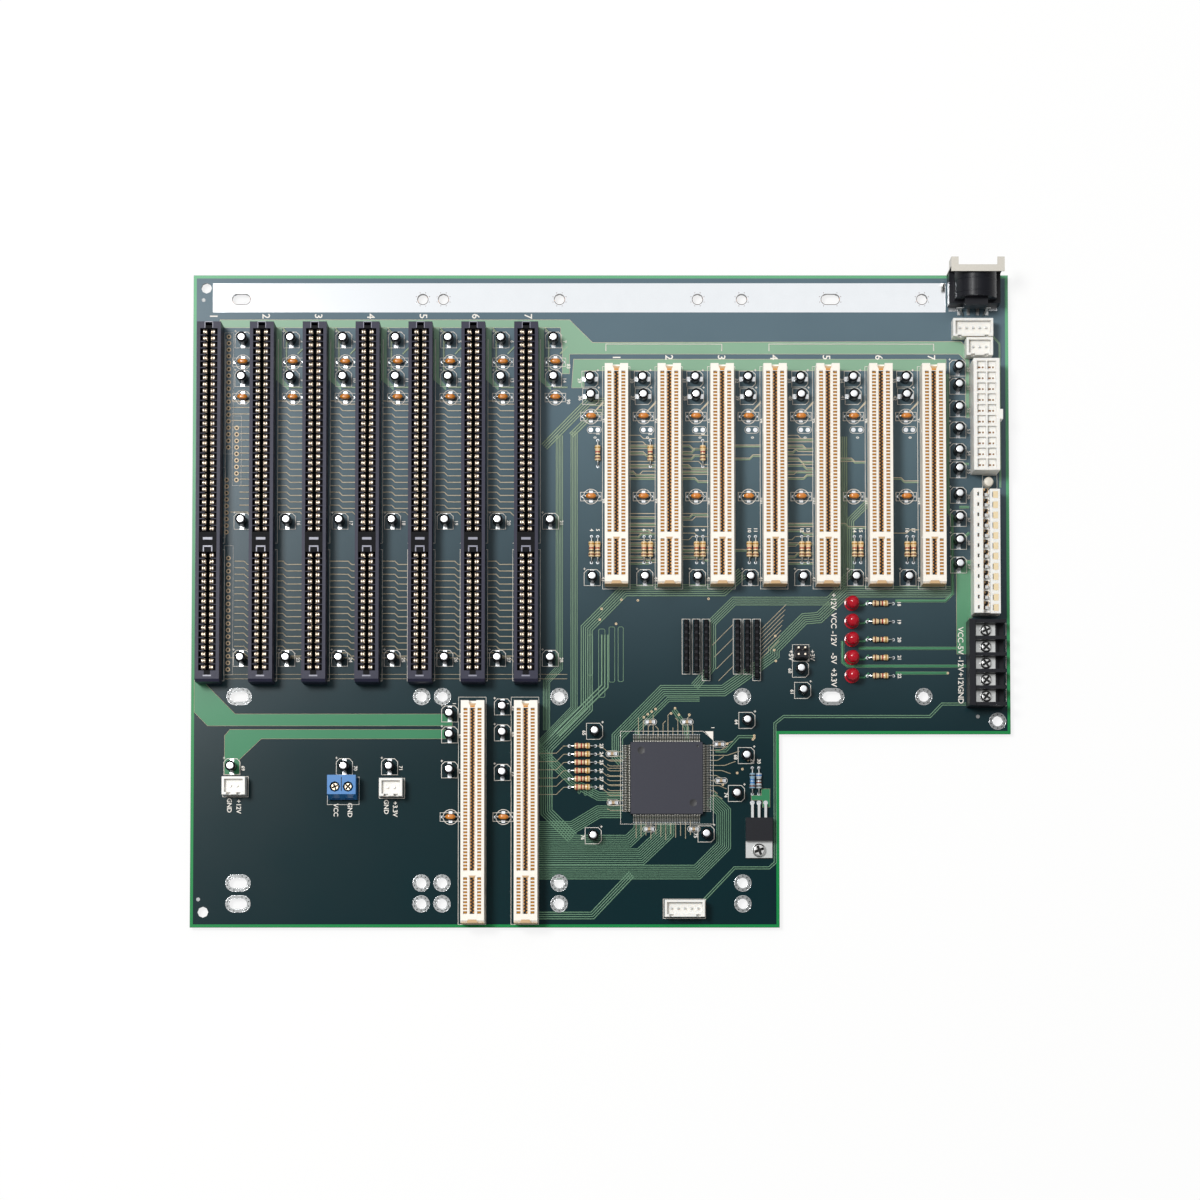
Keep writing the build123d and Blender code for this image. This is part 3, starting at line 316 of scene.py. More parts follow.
@dataclass(frozen=True)
class MaskedLaminate(Finish):
    """Glass laminate under solder mask, paler over copper, with the weave just showing through.

    The far end of the board is seen at a flatter angle, where the mask's sheen is painted in as a greyer colour.
    """

    far_colour: str = "#5f737d"
    far_shade: str = "#586c76"
    weave: float = 0.9

    def dress(self, tree: bpy.types.NodeTree, shader: bpy.types.Node) -> None:
        """Adds the painted sheen that greys the board towards its far end, the weave's relief and the mask's
        gloss.

        Args:
            tree: The material's nodes.
            shader: Its surface shader.
        """
        place = add_node(tree, "ShaderNodeTexCoord").outputs["Object"]
        split = add_node(tree, "ShaderNodeSeparateXYZ", {"Vector": place})
        # Painted sheen: the colour turns to the greyer sheen colours towards the far end of the board.
        along = add_node(tree, "ShaderNodeMapRange",
                         {"Value": split.outputs["Y"], "From Min": -0.075, "From Max": 0.12},
                         interpolation_type="SMOOTHSTEP")
        cloud = add_node(tree, "ShaderNodeTexNoise", {"Vector": place, "Scale": 1 / (24 * MM)}).outputs["Fac"]
        ends = [
            add_node(tree, "ShaderNodeMix", {0: cloud, 6: linear(a), 7: linear(b)}, data_type="RGBA")
            for a, b in ((self.colour, self.shade), (self.far_colour, self.far_shade))
        ]
        colour = add_node(tree, "ShaderNodeMix",
                          {0: along.outputs["Result"], 6: ends[0].outputs[2], 7: ends[1].outputs[2]},
                          data_type="RGBA")
        pitch = 1 / (self.weave * MM)
        threads = [
            add_node(tree, "ShaderNodeTexWave", {"Vector": place, "Scale": pitch / 2}, wave_type="BANDS",
                     bands_direction=axis)
            for axis in ("X", "Y")
        ]
        cloth = add_node(tree, "ShaderNodeMath", {0: threads[0].outputs["Fac"], 1: threads[1].outputs["Fac"]},
                         operation="MULTIPLY")
        bump = add_node(tree, "ShaderNodeBump",
                        {"Height": cloth.outputs["Value"], "Distance": 0.006 * MM, "Strength": 0.3})
        gloss = add_node(tree, "ShaderNodeMapRange",
                         {"Value": cloud, "To Min": self.roughness * 0.9, "To Max": self.roughness * 1.1})
        tree.links.new(colour.outputs[2], shader.inputs["Base Color"])
        tree.links.new(gloss.outputs["Result"], shader.inputs["Roughness"])
        tree.links.new(bump.outputs["Normal"], shader.inputs["Normal"])


# Every mask below has a painted sheen: its greyer far colours stand in for the softbox's reflection at the board's
# far end.
# Green mask over bare glass laminate: a dark teal, greyed towards the far end by that painted sheen.
BOARD_MASK = MaskedLaminate("mask_on_laminate", "#03262b", "#022126", 0.22, ior=1.22)
# The same mask over copper: a clear leaf green.
COPPER_MASK = MaskedLaminate("mask_on_copper", "#37825a", "#327b54", 0.26, ior=1.25,
                             far_colour="#8db096", far_shade="#86a98f")
# Narrow tracks under mask, close together: green between, with a tan glint on their edges.
TRACK_MASK = MaskedLaminate("mask_on_tracks", "#6c9076", "#64886f", 0.26, ior=1.25,
                            far_colour="#a9b99d", far_shade="#a0b095")
# Single tracks, where the glint is most of what is seen.
BUS_MASK = MaskedLaminate("mask_on_single_tracks", "#b3a78e", "#a89c84", 0.26, ior=1.25,
                          far_colour="#dfd2bb", far_shade="#d3c6ae")
# Mask at the board's edges, where light comes through the bare laminate.
EDGE_MASK = MaskedLaminate("mask_on_clear_edge", "#158646", "#127c40", 0.26, ior=1.25,
                           far_colour="#6cb085", far_shade="#64a87d")


def take(*pieces: Piece) -> None:
    """Selects only these pieces, the first of them active."""
    bpy.ops.object.select_all(action="DESELECT")
    for piece in pieces:
        piece.select_set(True)
    bpy.context.view_layer.objects.active = pieces[0]


def bake(piece: Piece) -> Piece:
    """Puts a piece's place, turn and size into its mesh."""
    take(piece)
    bpy.ops.object.transform_apply(location=True, rotation=True, scale=True)
    return piece


def dressed(piece: Piece, finish: Finish) -> Piece:
    """Gives a piece one finish all over."""
    piece.data.materials.clear()
    piece.data.materials.append(finish.material())
    return piece


def block(size: Spot, place: Spot, finish: Finish) -> Piece:
    """A box on its base.

    Args:
        size: Length, width and height in millimetres.
        place: The middle of its base in millimetres.
        finish: Its finish.

    Returns:
        The piece.
    """
    bpy.ops.object.select_all(action="DESELECT")
    x, y, z = place
    bpy.ops.mesh.primitive_cube_add(size=1, location=Vector((x, y, z + size[2] / 2)) * MM,
                                    scale=Vector(size) * MM)
    return dressed(bake(bpy.context.object), finish)


def drum(diameter: float, height: float, place: Spot, finish: Finish, sides: int = 24) -> Piece:
    """An upright round bar on its base.

    Args:
        diameter: Across the round, in millimetres.
        height: In millimetres.
        place: The middle of its base in millimetres.
        finish: Its finish.
        sides: How many flats make the round.

    Returns:
        The piece, smooth round its side.
    """
    bpy.ops.object.select_all(action="DESELECT")
    x, y, z = place
    bpy.ops.mesh.primitive_cylinder_add(vertices=sides, radius=diameter / 2 * MM, depth=height * MM,
                                        location=Vector((x, y, z + height / 2)) * MM)
    piece = bake(bpy.context.object)
    bpy.ops.object.shade_smooth_by_angle(angle=math.radians(40))
    return dressed(piece, finish)


def modify(piece: Piece, kind: str, **settings) -> Piece:
    """Adds one modifier and applies it.

    Args:
        piece: The piece.
        kind: The modifier's type name.
        settings: Its properties.

    Returns:
        The same piece.
    """
    take(piece)
    bpy.ops.object.modifier_add(type=kind)
    modifier = piece.modifiers[-1]
    for name, value in settings.items():
        setattr(modifier, name, value)
    bpy.ops.object.modifier_apply(modifier=modifier.name)
    return piece


def plate(length: float, width: float, place: Spot, finish: Finish) -> Piece:
    """A thin flat patch, its edges just eased, on its base."""
    return eased(block((length, width, PATCH_THICK), place, finish), 0.01)


def eased(piece: Piece, width: float, segments: int = 1) -> Piece:
    """Rounds the sharp edges of a piece.

    Args:
        piece: The piece.
        width: In millimetres.
        segments: Steps round each edge.

    Returns:
        The same piece.
    """
    return modify(piece, "BEVEL", width=width * MM, segments=segments, limit_method="ANGLE")


def row(piece: Piece, count: int, step: Spot) -> Piece:
    """Repeats a piece at even steps, each a distance in millimetres."""
    return modify(piece, "ARRAY", count=count, use_relative_offset=False, use_constant_offset=True,
                  constant_offset_displace=Vector(step) * MM)


def moved(piece: Piece, place: Spot, turn: float = 0.0, axis: str = "Z") -> Piece:
    """Turns a piece about the frame's origin, then moves it.

    Args:
        piece: The piece.
        place: How far, in millimetres.
        turn: In degrees.
        axis: The axis that it turns about.

    Returns:
        The same piece.
    """
    piece.rotation_euler = Vector([math.radians(turn) if axis == name else 0 for name in "XYZ"])
    piece.location = Vector(place) * MM
    return bake(piece)


@contextmanager
def picked(piece: Piece, test: Callable[[Vector, Vector], bool]) -> Iterator[None]:
    """Edit mode with some faces selected.

    Args:
        piece: The piece.
        test: Says from a face's middle, in millimetres, and its normal whether it is selected.
    """
    take(piece)
    bpy.ops.object.mode_set(mode="EDIT")
    bpy.ops.mesh.select_mode(type="FACE")
    bpy.ops.mesh.select_all(action="DESELECT")
    mesh = bmesh.from_edit_mesh(piece.data)
    for face in mesh.faces:
        if test(face.calc_center_median() / MM, face.normal):
            face.select_set(True)
    bmesh.update_edit_mesh(piece.data)
    yield
    bpy.ops.object.mode_set(mode="OBJECT")


def facing(axis: str, sign: int = 1) -> Callable[[Vector, Vector], bool]:
    """A test for faces that look along an axis, or against it where the sign is negative."""
    return lambda middle, normal: sign * getattr(normal, axis) > SQUARE_ON


def outward(piece: Piece) -> Piece:
    """Turns every face of a closed piece outwards."""
    take(piece)
    bpy.ops.object.mode_set(mode="EDIT")
    bpy.ops.mesh.select_all(action="SELECT")
    bpy.ops.mesh.normals_make_consistent(inside=False)
    bpy.ops.object.mode_set(mode="OBJECT")
    return piece


def drawn(name: str, routes: Sequence[tuple[Sequence[Spot], bool]], **settings) -> Piece:
    """A curve object of straight runs.

    Args:
        name: Its name.
        routes: The points of each run in metres, and whether it closes.
        settings: Properties of the curve.

    Returns:
        The curve object.
    """
    data = bpy.data.curves.new(name, "CURVE")
    for key, value in settings.items():
        setattr(data, key, value)
    for points, closed in routes:
        spline = data.splines.new("POLY")
        spline.points.add(len(points) - 1)
        for point, place in zip(spline.points, points):
            point.co = (*place, 1)
        spline.use_cyclic_u = closed
    piece = bpy.data.objects.new(name, data)
    bpy.context.collection.objects.link(piece)
    return piece


def joined(pieces: Sequence[Piece]) -> Piece:
    """Makes several pieces one."""
    take(*pieces)
    if len(pieces) > 1:
        bpy.ops.object.join()
    return bpy.context.view_layer.objects.active


def copies(master: Piece, places: Sequence[tuple[Vector, float]]) -> Piece:
    """Copies a piece to its places, each copy with its own mesh, and takes the first away.

    Args:
        master: The piece, modelled at the origin.
        places: Place in metres and turn in degrees.

    Returns:
        All the copies as one piece.
    """
    made = []
    for place, turn in places:
        other = master.copy()
        other.data = master.data.copy()
        bpy.context.collection.objects.link(other)
        other.location = place
        other.rotation_euler = (0, 0, math.radians(turn))
        made.append(other)
    bpy.data.objects.remove(master, do_unlink=True)
    piece = joined(made)
    return bake(piece)


def mount(piece: Piece, name: str, slot: str, *nodes: str) -> Piece:
    """Names a finished piece, fixes it to the board and hides the frame nodes that it replaces.

    Args:
        piece: The finished piece.
        name: Its name.
        slot: Not used.
        nodes: Frame nodes that it replaces.

    Returns:
        The same piece.
    """
    piece.name = name
    piece.data.name = name
    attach(piece, "root")
    if nodes:
        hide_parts(*nodes)
    log.info("%s: %d faces", name, len(piece.data.polygons))
    return piece


@dataclass
class FlatWork:
    """Everything of one finish that lies flat on the board: tracks, pours or print.

    Routes are drawn as ridges of their own width and outlines as filled shapes. An outline inside another
    is a hole in it, unless the shapes are filled apart.
    """

    name: str
    finish: Finish
    height: float
    thick: float
    apart: bool = False
    routes: dict[float, list[tuple[Route, bool]]] = field(default_factory=dict)
    shapes: list[Route] = field(default_factory=list)
    words: list[tuple[str, float, float, float, float]] = field(default_factory=list)

    def line(self, route: Route, width: float = 0.3, closed: bool = False) -> None:
        """Adds a track or a printed line, in board millimetres."""
        self.routes.setdefault(width, []).append((route, closed))

    def shape(self, outline: Route) -> None:
        """Adds a filled shape, in board millimetres."""
        self.shapes.append(outline)

    def ring(self, u: float, v: float, outer: float, inner: float, sides: tuple[int, int],
             stretch: float = 0.0) -> None:
        """Adds a flat ring round a hole.

        Args:
            u: Its middle along the board, in millimetres.
            v: Its middle across the board.
            outer: Its outer radius.
            inner: Its inner radius.
            sides: How many points make each round.
            stretch: Length of its straight sides, where the hole is a slot.
        """
        for radius, steps in zip((outer, inner), sides):
            self.shape(round_outline(u, v, radius, stretch, steps))

    def word(self, text: str, u: float, v: float, size: float, turn: float = 0.0) -> None:
        """Adds a short printed mark, centred on its place."""
        self.words.append((text, u, v, size, turn))

    def curve(self, splines: Sequence[tuple[Route, bool]], filled: bool) -> Piece:
        """A flat curve object through these points.

        Args:
            splines: Routes, each open or closed.
            filled: Whether the inside is filled.

        Returns:
            The curve object.
        """
        routes = [([(*spot(u, v).xy, 0) for u, v in route], closed or filled) for route, closed in splines]
        dimensions, fill_mode = ("2D", "BOTH") if filled else ("3D", "FULL")
        return drawn(self.name, routes, dimensions=dimensions, fill_mode=fill_mode)

    def flatten(self, piece: Piece, thick: float) -> Piece:
        """Makes a curve or text a mesh and lays it on the board's face.

        Args:
            piece: The curve or text.
            thick: How much its height is squeezed.

        Returns:
            The mesh piece.
        """
        take(piece)
        bpy.ops.object.convert(target="MESH")
        piece = bpy.context.object
        piece.scale.z = thick
        piece.location.z = (BOARD_TOP + self.height) * MM
        return dressed(bake(piece), self.finish)

    def lettered(self, text: str, u: float, v: float, size: float, turn: float) -> Piece:
        """One printed mark.

        Args:
            text: What it says.
            u: Its middle along the board, in millimetres.
            v: Its middle across the board.
            size: Of its letters.
            turn: In degrees.

        Returns:
            The mesh piece.
        """
        bpy.ops.object.select_all(action="DESELECT")
        bpy.ops.object.text_add(location=(*spot(u, v).xy, 0), rotation=(0, 0, math.radians(turn)))
        piece = bpy.context.object
        for name, value in (("body", text), ("size", size * MM), ("resolution_u", 2), ("offset", 0.04 * MM),
                            ("align_x", "CENTER"), ("align_y", "CENTER"), ("extrude", self.thick / 2 * MM)):
            setattr(piece.data, name, value)
        return self.flatten(piece, 1)

    def made(self) -> Piece:
        """The finished piece."""
        parts = []
        for width, splines in self.routes.items():
            piece = self.curve(splines, False)
            piece.data.bevel_depth = width / 2 * MM
            piece.data.bevel_resolution = 0
            parts.append(self.flatten(piece, 2 * self.thick / width))
        groups = [[shape] for shape in self.shapes] if self.apart else [self.shapes]
        for group in filter(None, groups):
            piece = self.curve([(shape, True) for shape in group], True)
            piece.data.extrude = self.thick / 2 * MM
            parts.append(self.flatten(piece, 1))
        parts += [self.lettered(*word) for word in self.words]
        return mount(joined(parts), self.name, "board")


def turned(profile: Sequence[tuple[float, float]], finish: Finish, sides: int = 16) -> Piece:
    """A round part turned to a profile, standing at the origin.

    Args:
        profile: Radius and height of each step in millimetres, from the base up.
        finish: Its finish.
        sides: How many flats make the round.

    Returns:
        The piece, smooth but for its sharp steps.
    """
    bpy.ops.object.select_all(action="DESELECT")
    radius, height = profile[0]
    bpy.ops.mesh.primitive_circle_add(vertices=sides, radius=radius * MM, fill_type="NGON",
                                      location=(0, 0, height * MM))
    piece = bake(bpy.context.object)
    bpy.ops.object.mode_set(mode="EDIT")
    bpy.ops.mesh.select_all(action="SELECT")
    for wide, high in profile[1:]:
        bpy.ops.mesh.extrude_region_move(TRANSFORM_OT_translate={"value": (0, 0, (high - height) * MM)})
        bpy.ops.transform.resize(value=(wide / radius, wide / radius, 1))
        radius, height = wide, high
    bpy.ops.object.mode_set(mode="OBJECT")
    outward(piece)
    bpy.ops.object.shade_smooth_by_angle(angle=math.radians(40))
    return dressed(piece, finish)


def wire(route: Sequence[Spot], thick: float, finish: Finish) -> Piece:
    """A round wire through these points.

    Args:
        route: Points in millimetres.
        thick: Its diameter.
        finish: Its finish.

    Returns:
        The piece.
    """
    points = [tuple(Vector(place) * MM) for place in route]
    take(drawn("wire", [(points, False)], dimensions="3D", bevel_depth=thick / 2 * MM, bevel_resolution=1,
               use_fill_caps=True))
    bpy.ops.object.convert(target="MESH")
    bpy.ops.object.shade_smooth_by_angle(angle=math.radians(50))
    return dressed(bpy.context.object, finish)


def cross_screw(diameter: float, height: float, finish: Finish) -> Piece:
    """The head of a pan-head screw with a cross recess, standing at the origin.

    Args:
        diameter: In millimetres.
        height: In millimetres.
        finish: Its finish.

    Returns:
        The piece.
    """
    r = diameter / 2
    head = turned([(r * 0.95, 0), (r, 0.12 * height), (r, 0.6 * height), (r * 0.92, 0.85 * height),
                   (r * 0.75, height)], finish, 24)
    for length, width in ((0.72, 0.2), (0.2, 0.72)):
        # The cut faces take the painted shade as the dark in the recess.
        cut = block((diameter * length, diameter * width, height), (0, 0, height * 0.4), PAINTED_SHADE_BLACK)
        modify(head, "BOOLEAN", operation="DIFFERENCE", object=cut, solver="EXACT", material_mode="TRANSFER")
        bpy.data.objects.remove(cut, do_unlink=True)
    return head


def beside(route: Route, distance: float) -> list[tuple[float, float]]:
    """A route moved sideways, its corners kept.

    Args:
        route: Points in board millimetres.
        distance: How far, to the left of its direction.

    Returns:
        The new points.
    """
    points = [Vector(point) for point in route]
    runs = [(b - a).normalized() for a, b in zip(points, points[1:])]
    moved_points = []
    for i, point in enumerate(points):
        before, after = runs[max(i - 1, 0)], runs[min(i, len(runs) - 1)]
        left = Vector((-before.y, before.x))
        corner = (left + Vector((-after.y, after.x))).normalized()
        moved_points.append(tuple(point + corner * distance / max(corner.dot(left), 0.4)))
    return moved_points


def round_outline(u: float, v: float, radius: float, stretch: float = 0.0, steps: int = 20) -> Route:
    """An outline round a hole, in board millimetres.

    Args:
        u: Its middle along the board.
        v: Its middle across the board.
        radius: Of its round ends.
        stretch: Length of its straight sides, where it is a slot.
        steps: How many points make the round.

    Returns:
        The points.
    """
    angles = [(k + 0.5) * math.tau / steps for k in range(steps)]
    return [(u + math.copysign(stretch / 2, math.cos(a)) + radius * math.cos(a), v + radius * math.sin(a))
            for a in angles]


def box_outline(u: float, v: float, length: float, width: float) -> Route:
    """A rectangle about its middle, in board millimetres."""
    half, side = length / 2, width / 2
    return [(u - half, v - side), (u + half, v - side), (u + half, v + side), (u - half, v + side)]


WIDE_U = [7.3 + SLOT_PITCH * i for i in range(7)]
FINE_U = [163.9 + SLOT_PITCH * i for i in range(7)]
CPU_U = [108.4, 128.7]
LAND_HOLES = [(u, v, 0) for v in (89, 17.1, 9.1) for u in (88.9, 96.9, 141.9, 212.5, 282.4) if v > 80 or u < 220]
LAND_HOLES += [(18.5, 89, 3.1), (246.9, 89, 3.1), (18.5, 17.1, 3.1), (18.5, 9.1, 3.1), (310.8, 79.5, 0)]
TOOLING_HOLES = [(3.9, 243.3), (3.2, 10.8), (303.2, 81.3)]
TOP_HOLES = [(18.5, 3.1), (88.9, 0), (96.9, 0), (141.9, 0), (195.4, 0), (212.5, 0), (246.9, 3.1),
             (282.4, 0)]


@dataclass
class Copper:
    """Copper under the mask, bare tinned copper, and the holes through them."""

    hole: float = 1.95
    land: float = 3.35
    top_row: float = 243.6
    strip: tuple[float, float, float, float] = (7.5, 238.5, 291.6, 249.9)
    edge: float = 0.05
    rim: float = 1.15
    bus_width: float = 0.46
    bus_step: float = 1.3
    fine_width: float = 0.36
    wide_drop: float = 0.6
    empty_band: tuple[float, float] = (160.5, 173.5)
    busy: tuple[float, ...] = (0.8, 0.75, 0.15, 0.7, 0.12, 0.12)
    fan_width: float = 0.34
    seed: int = 11
    pad_columns: tuple[tuple[float, float, int], ...] = (
        (13.8, 229, 18), (17, 193.4, 9), (13.2, 173.1, 9), (10.9, 173.1, 9), (14.1, 142.7, 18),
    )
    slot_pour: Route = ((4.2, 232.6), (6.7, 232.6), (6.7, 213), (9.4, 209.8), (9.4, 208), (4.2, 212.4))
    supply_pour: Route = ((257, 124.4), (259.6, 124.4), (261.3, 126.1))
    jogs: tuple[float, ...] = (12.9, 7.6, 12.4, 10.1, 12.9, 8.6)
    pours: tuple[Route, ...] = (
        ((10.3, 235.6), (145.8, 235.6), (154.7, 226.7), (297.5, 227.1), (300.6, 223.6), (300.6, 197.3),
         (299.1, 197.3), (299.1, 219.7), (296.7, 222.2), (145.8, 222.2), (145.8, 214.5), (143, 214.5),
         (143, 226.3), (142.3, 227), (142.3, 232.5), (10.3, 232.5)),
        ((147.4, 220.2), (291.7, 220.2), (291.7, 215.7), (151.5, 215.7), (151.5, 209), (146.6, 209)),
        ((1.2, 95.4), (4.1, 95.4), (17, 82.3), (100.7, 82.3), (100.7, 77.7), (6.4, 77.7), (1.2, 83)),
        ((15, 76.3), (99.2, 76.3), (99.2, 72.7), (27.1, 72.7), (18.8, 64.7), (18.8, 59), (13, 59),
         (13, 73.9)),
        ((295.2, 139.2), (297.9, 141.9), (301.2, 141.9), (301.2, 119.4), (299.9, 119.4), (299.9, 105.5),
         (295.2, 105.5)),
        ((215.8, 49), (215.8, 50.9), (219.7, 50.9), (219.7, 53.4), (223, 53.4), (223, 46.3), (220.1, 46.3),
         (220.1, 49)),
    )
    thick_tracks: tuple[tuple[Route, float], ...] = (
        (((271.6, 126.1), (290.9, 126.1), (293.7, 128.9), (293.7, 158.8), (292.2, 160.6), (292.2, 214.5)), 1.1),
        (((257.4, 107.7), (295.4, 107.7)), 1.1),
        (((251.2, 110.5), (251.2, 102.4), (253, 100.8), (299.9, 100.8)), 1.1),
        (((271.6, 98.1), (291.7, 98.1)), 1.1),
        (((309.9, 229), (312.4, 226.3), (312.4, 170.1)), 0.6),
        (((296.5, 162.5), (300.3, 162.5)), 1),
        (((296.5, 149), (300.3, 152.6)), 1),
        (((296.5, 179.3), (300.3, 179.3)), 0.8),
    )
    bundles: tuple[tuple[Route, int, float], ...] = (
        (((293, 129.6), (252.6, 129.6), (242.2, 119.6), (236.4, 119.1), (224.7, 107.4), (224.7, 105.2),
          (218.9, 101), (205.2, 91.3), (181.8, 91.3), (164.3, 73.5), (164.3, 66), (166.3, 64)), 6, 0.8),
        (((251.5, 190), (251.5, 131.4), (246, 126), (209.3, 126), (200.7, 117.5), (200.7, 100.5),
          (194, 92.8)), 5, 0.75),
        (((212.7, 137), (205, 130.2), (167, 130.2), (157.5, 120.5), (152.5, 115.5), (152.5, 84.5),
          (137, 69), (137, 44.5), (147, 34.5)), 6, 0.85),
        (((159.5, 113), (159.5, 93), (141, 74.5)), 3, 1.2),
        (((147.6, 192), (147.6, 84.5), (138, 74.5), (133.5, 70)), 5, 0.6),
        (((141.9, 190.5), (141.9, 100), (137, 95), (137, 76)), 5, 0.6),
        (((136, 186), (153, 203.5), (160, 203.5)), 4, 0.9),
        (((146.5, 190.5), (155.5, 199.5), (159, 199.5)), 3, 0.9),
        (((199.8, 50.1), (205.2, 44.6), (205.2, 31.5), (195, 21.3), (132.6, 21.3)), 8, 0.75),
        (((183, 40.2), (183, 36.5), (173.2, 27.2), (132.6, 27.2)), 9, 0.75),
        (((173, 40), (173, 37.5), (168.5, 33.2), (132.6, 33.2)), 7, 0.75),
        (((165.9, 44.5), (157, 44.5), (146.9, 38.4), (132.6, 38.4)), 7, 0.75),
        (((166, 50.5), (157, 50.5), (147, 56), (132.6, 70.5)), 5, 0.75),
        (((169.8, 20.5), (154.7, 4.6), (132.6, 4.6)), 4, 0.85),
        (((197.6, 10.6), (209.3, 22.9), (222.6, 22.9), (225, 25), (225, 78.6), (228.4, 81.3), (284.8, 81.3),
          (289.4, 86.1), (298.7, 86.1)), 2, 0.8),
        (((262, 165), (254.5, 157.5), (254.5, 137), (248, 130.5)), 4, 0.75),
        (((191, 71.5), (191, 77), (186, 84)), 3, 0.75),
        (((172, 71.5), (172, 76), (184, 88), (196, 88)), 3, 0.75),
        (((202, 68), (206, 68), (211, 73.5), (217, 73.5)), 2, 0.8),
    )
    hairpins: Rows = (
        (153.8, 112.9, 97.3, 1.9), (158.3, 115.2, 88.7, 2.4), (162.2, 116, 94.6, 2.2), (165.6, 116, 94.8, 2),
        (149.6, 54.8, 51.5, 0.9), (152, 54.8, 50.7, 0.9), (154.2, 54.8, 50.7, 0.9),
    )
    vias: Rows = (
        (291.7, 98.1), (217, 73.9), (217, 73.1), (158.2, 123), (157.5, 118.8), (163.8, 117.2), (172.2, 126.3),
        (199.5, 126.9), (165.9, 126.5), (191.3, 79), (188, 82), (186.5, 84.5), (214.6, 64.5), (212.4, 61),
        (216.5, 72.5), (210.4, 59.5), (206.6, 70.8), (204.9, 55), (192, 82), (185, 82.5), (174.5, 81),
        (176, 82.2), (177.5, 83.2), (179, 84.2), (225.2, 112.5), (224.8, 107), (225.4, 102.8),
    )

    def pour_work(self) -> None:
        """Wide copper areas, filled apart because some of them cross."""
        work = FlatWork("copper_pours", COPPER_MASK, 0.01, 0.04, apart=True)
        for outline in self.pours:
            work.shape(outline)
        for u in WIDE_U[1:]:
            work.shape([(u + du, v) for du, v in self.slot_pour])
        for route, width in self.thick_tracks:
            work.line(route, width)
        for k in range(5):
            work.line([(u, v - 7 * k) for u, v in self.supply_pour], 0.9)
        work.made()

    def rim_work(self) -> None:
        """The pale rim where the laminate shows at the edges."""
        work = FlatWork("board_rim", EDGE_MASK, 0.008, 0.03)
        for edge in (self.edge, self.edge + self.rim):
            notch, step = BOARD_LENGTH - NOTCH_LENGTH - edge, NOTCH_WIDTH + edge
            end, high = BOARD_LENGTH - edge, BOARD_WIDTH - edge
            work.shape([(edge, edge), (notch, edge), (notch, step), (end, step), (end, high), (edge, high)])
        work.made()

    def stepped(self, work: FlatWork, start: float, bend: float, end: float, v: float) -> None:
        """Adds a track that steps down by half a contact.

        Args:
            work: What it is added to.
            start: Its left end, in board millimetres.
            bend: Where it steps.
            end: Its right end.
            v: Its height on the left.
        """
        low = v - WIDE_PITCH / 2
        work.line([(start, v), (bend, v), (bend + self.bus_step, low), (end, low)], self.bus_width)

    def bus(self, work: FlatWork) -> None:
        """The parallel tracks from slot to slot, each with its step."""
        for gap, u in enumerate(WIDE_U[:-1]):
            start, end = u + 5.3, u + 15.6
            for k in range(17):
                v = 203.9 - WIDE_PITCH * k
                if gap:
                    self.stepped(work, start, u + 8.8, end, v)
                else:
                    work.line([(u + (10.9 if k > 4 else 7.7), v), (end, v)], self.bus_width)
            for k in range(15):
                bend = min(u + self.jogs[gap], end - 1.4)
                self.stepped(work, start if gap else u + 9.2, bend, end, 141.5 - WIDE_PITCH * k)
            for v in (160.6, 104):
                work.line([(start if gap else start + 2, v), (end - 1.6, v), (end, v - 1.6)], 0.4)

    def fine_bus(self, work: FlatWork, wide: FlatWork) -> None:
        """The tracks between the fine-pitch slots, some of them with steps, and wider ones beside them."""
        chance = random.Random(self.seed)
        bottom, top = self.empty_band
        for busy, u in zip(self.busy, FINE_U):
            start, end = u + 5, u + 15.3
            for k in range(40):
                v = 190.5 - FINE_PITCH * k
                if bottom < v < top or chance.random() > busy:
                    continue
                step = chance.choice((0, 0, FINE_PITCH, -FINE_PITCH))
                bend = u + chance.uniform(6.5, 12.5)
                route = [(start, v), (bend, v), (bend + abs(step), v + step), (end, v + step)]
                work.line(route, self.fine_width)
                if k % 2:
                    wide.line([(x, y - self.wide_drop) for x, y in route], self.wide_drop)
        for u in FINE_U:
            for k in range(5):
                work.line([(u - 6.5 - 0.9 * k, 201.5 - 0.9 * k), (u - 5, 203 + 0.2 * k)], 0.25)
        for k in range(8):
            v = 114.8 - 1.6 * k
            work.line([(219.6, v), (229.5 - 0.4 * k, v + 9.9 - 0.4 * k)], 0.3)
        for k in range(4):
            v = 117 - 5.4 * k
            work.line([(209, v), (200.9 + 0.8 * k, v - 8.1 + 0.8 * k)], 0.3)

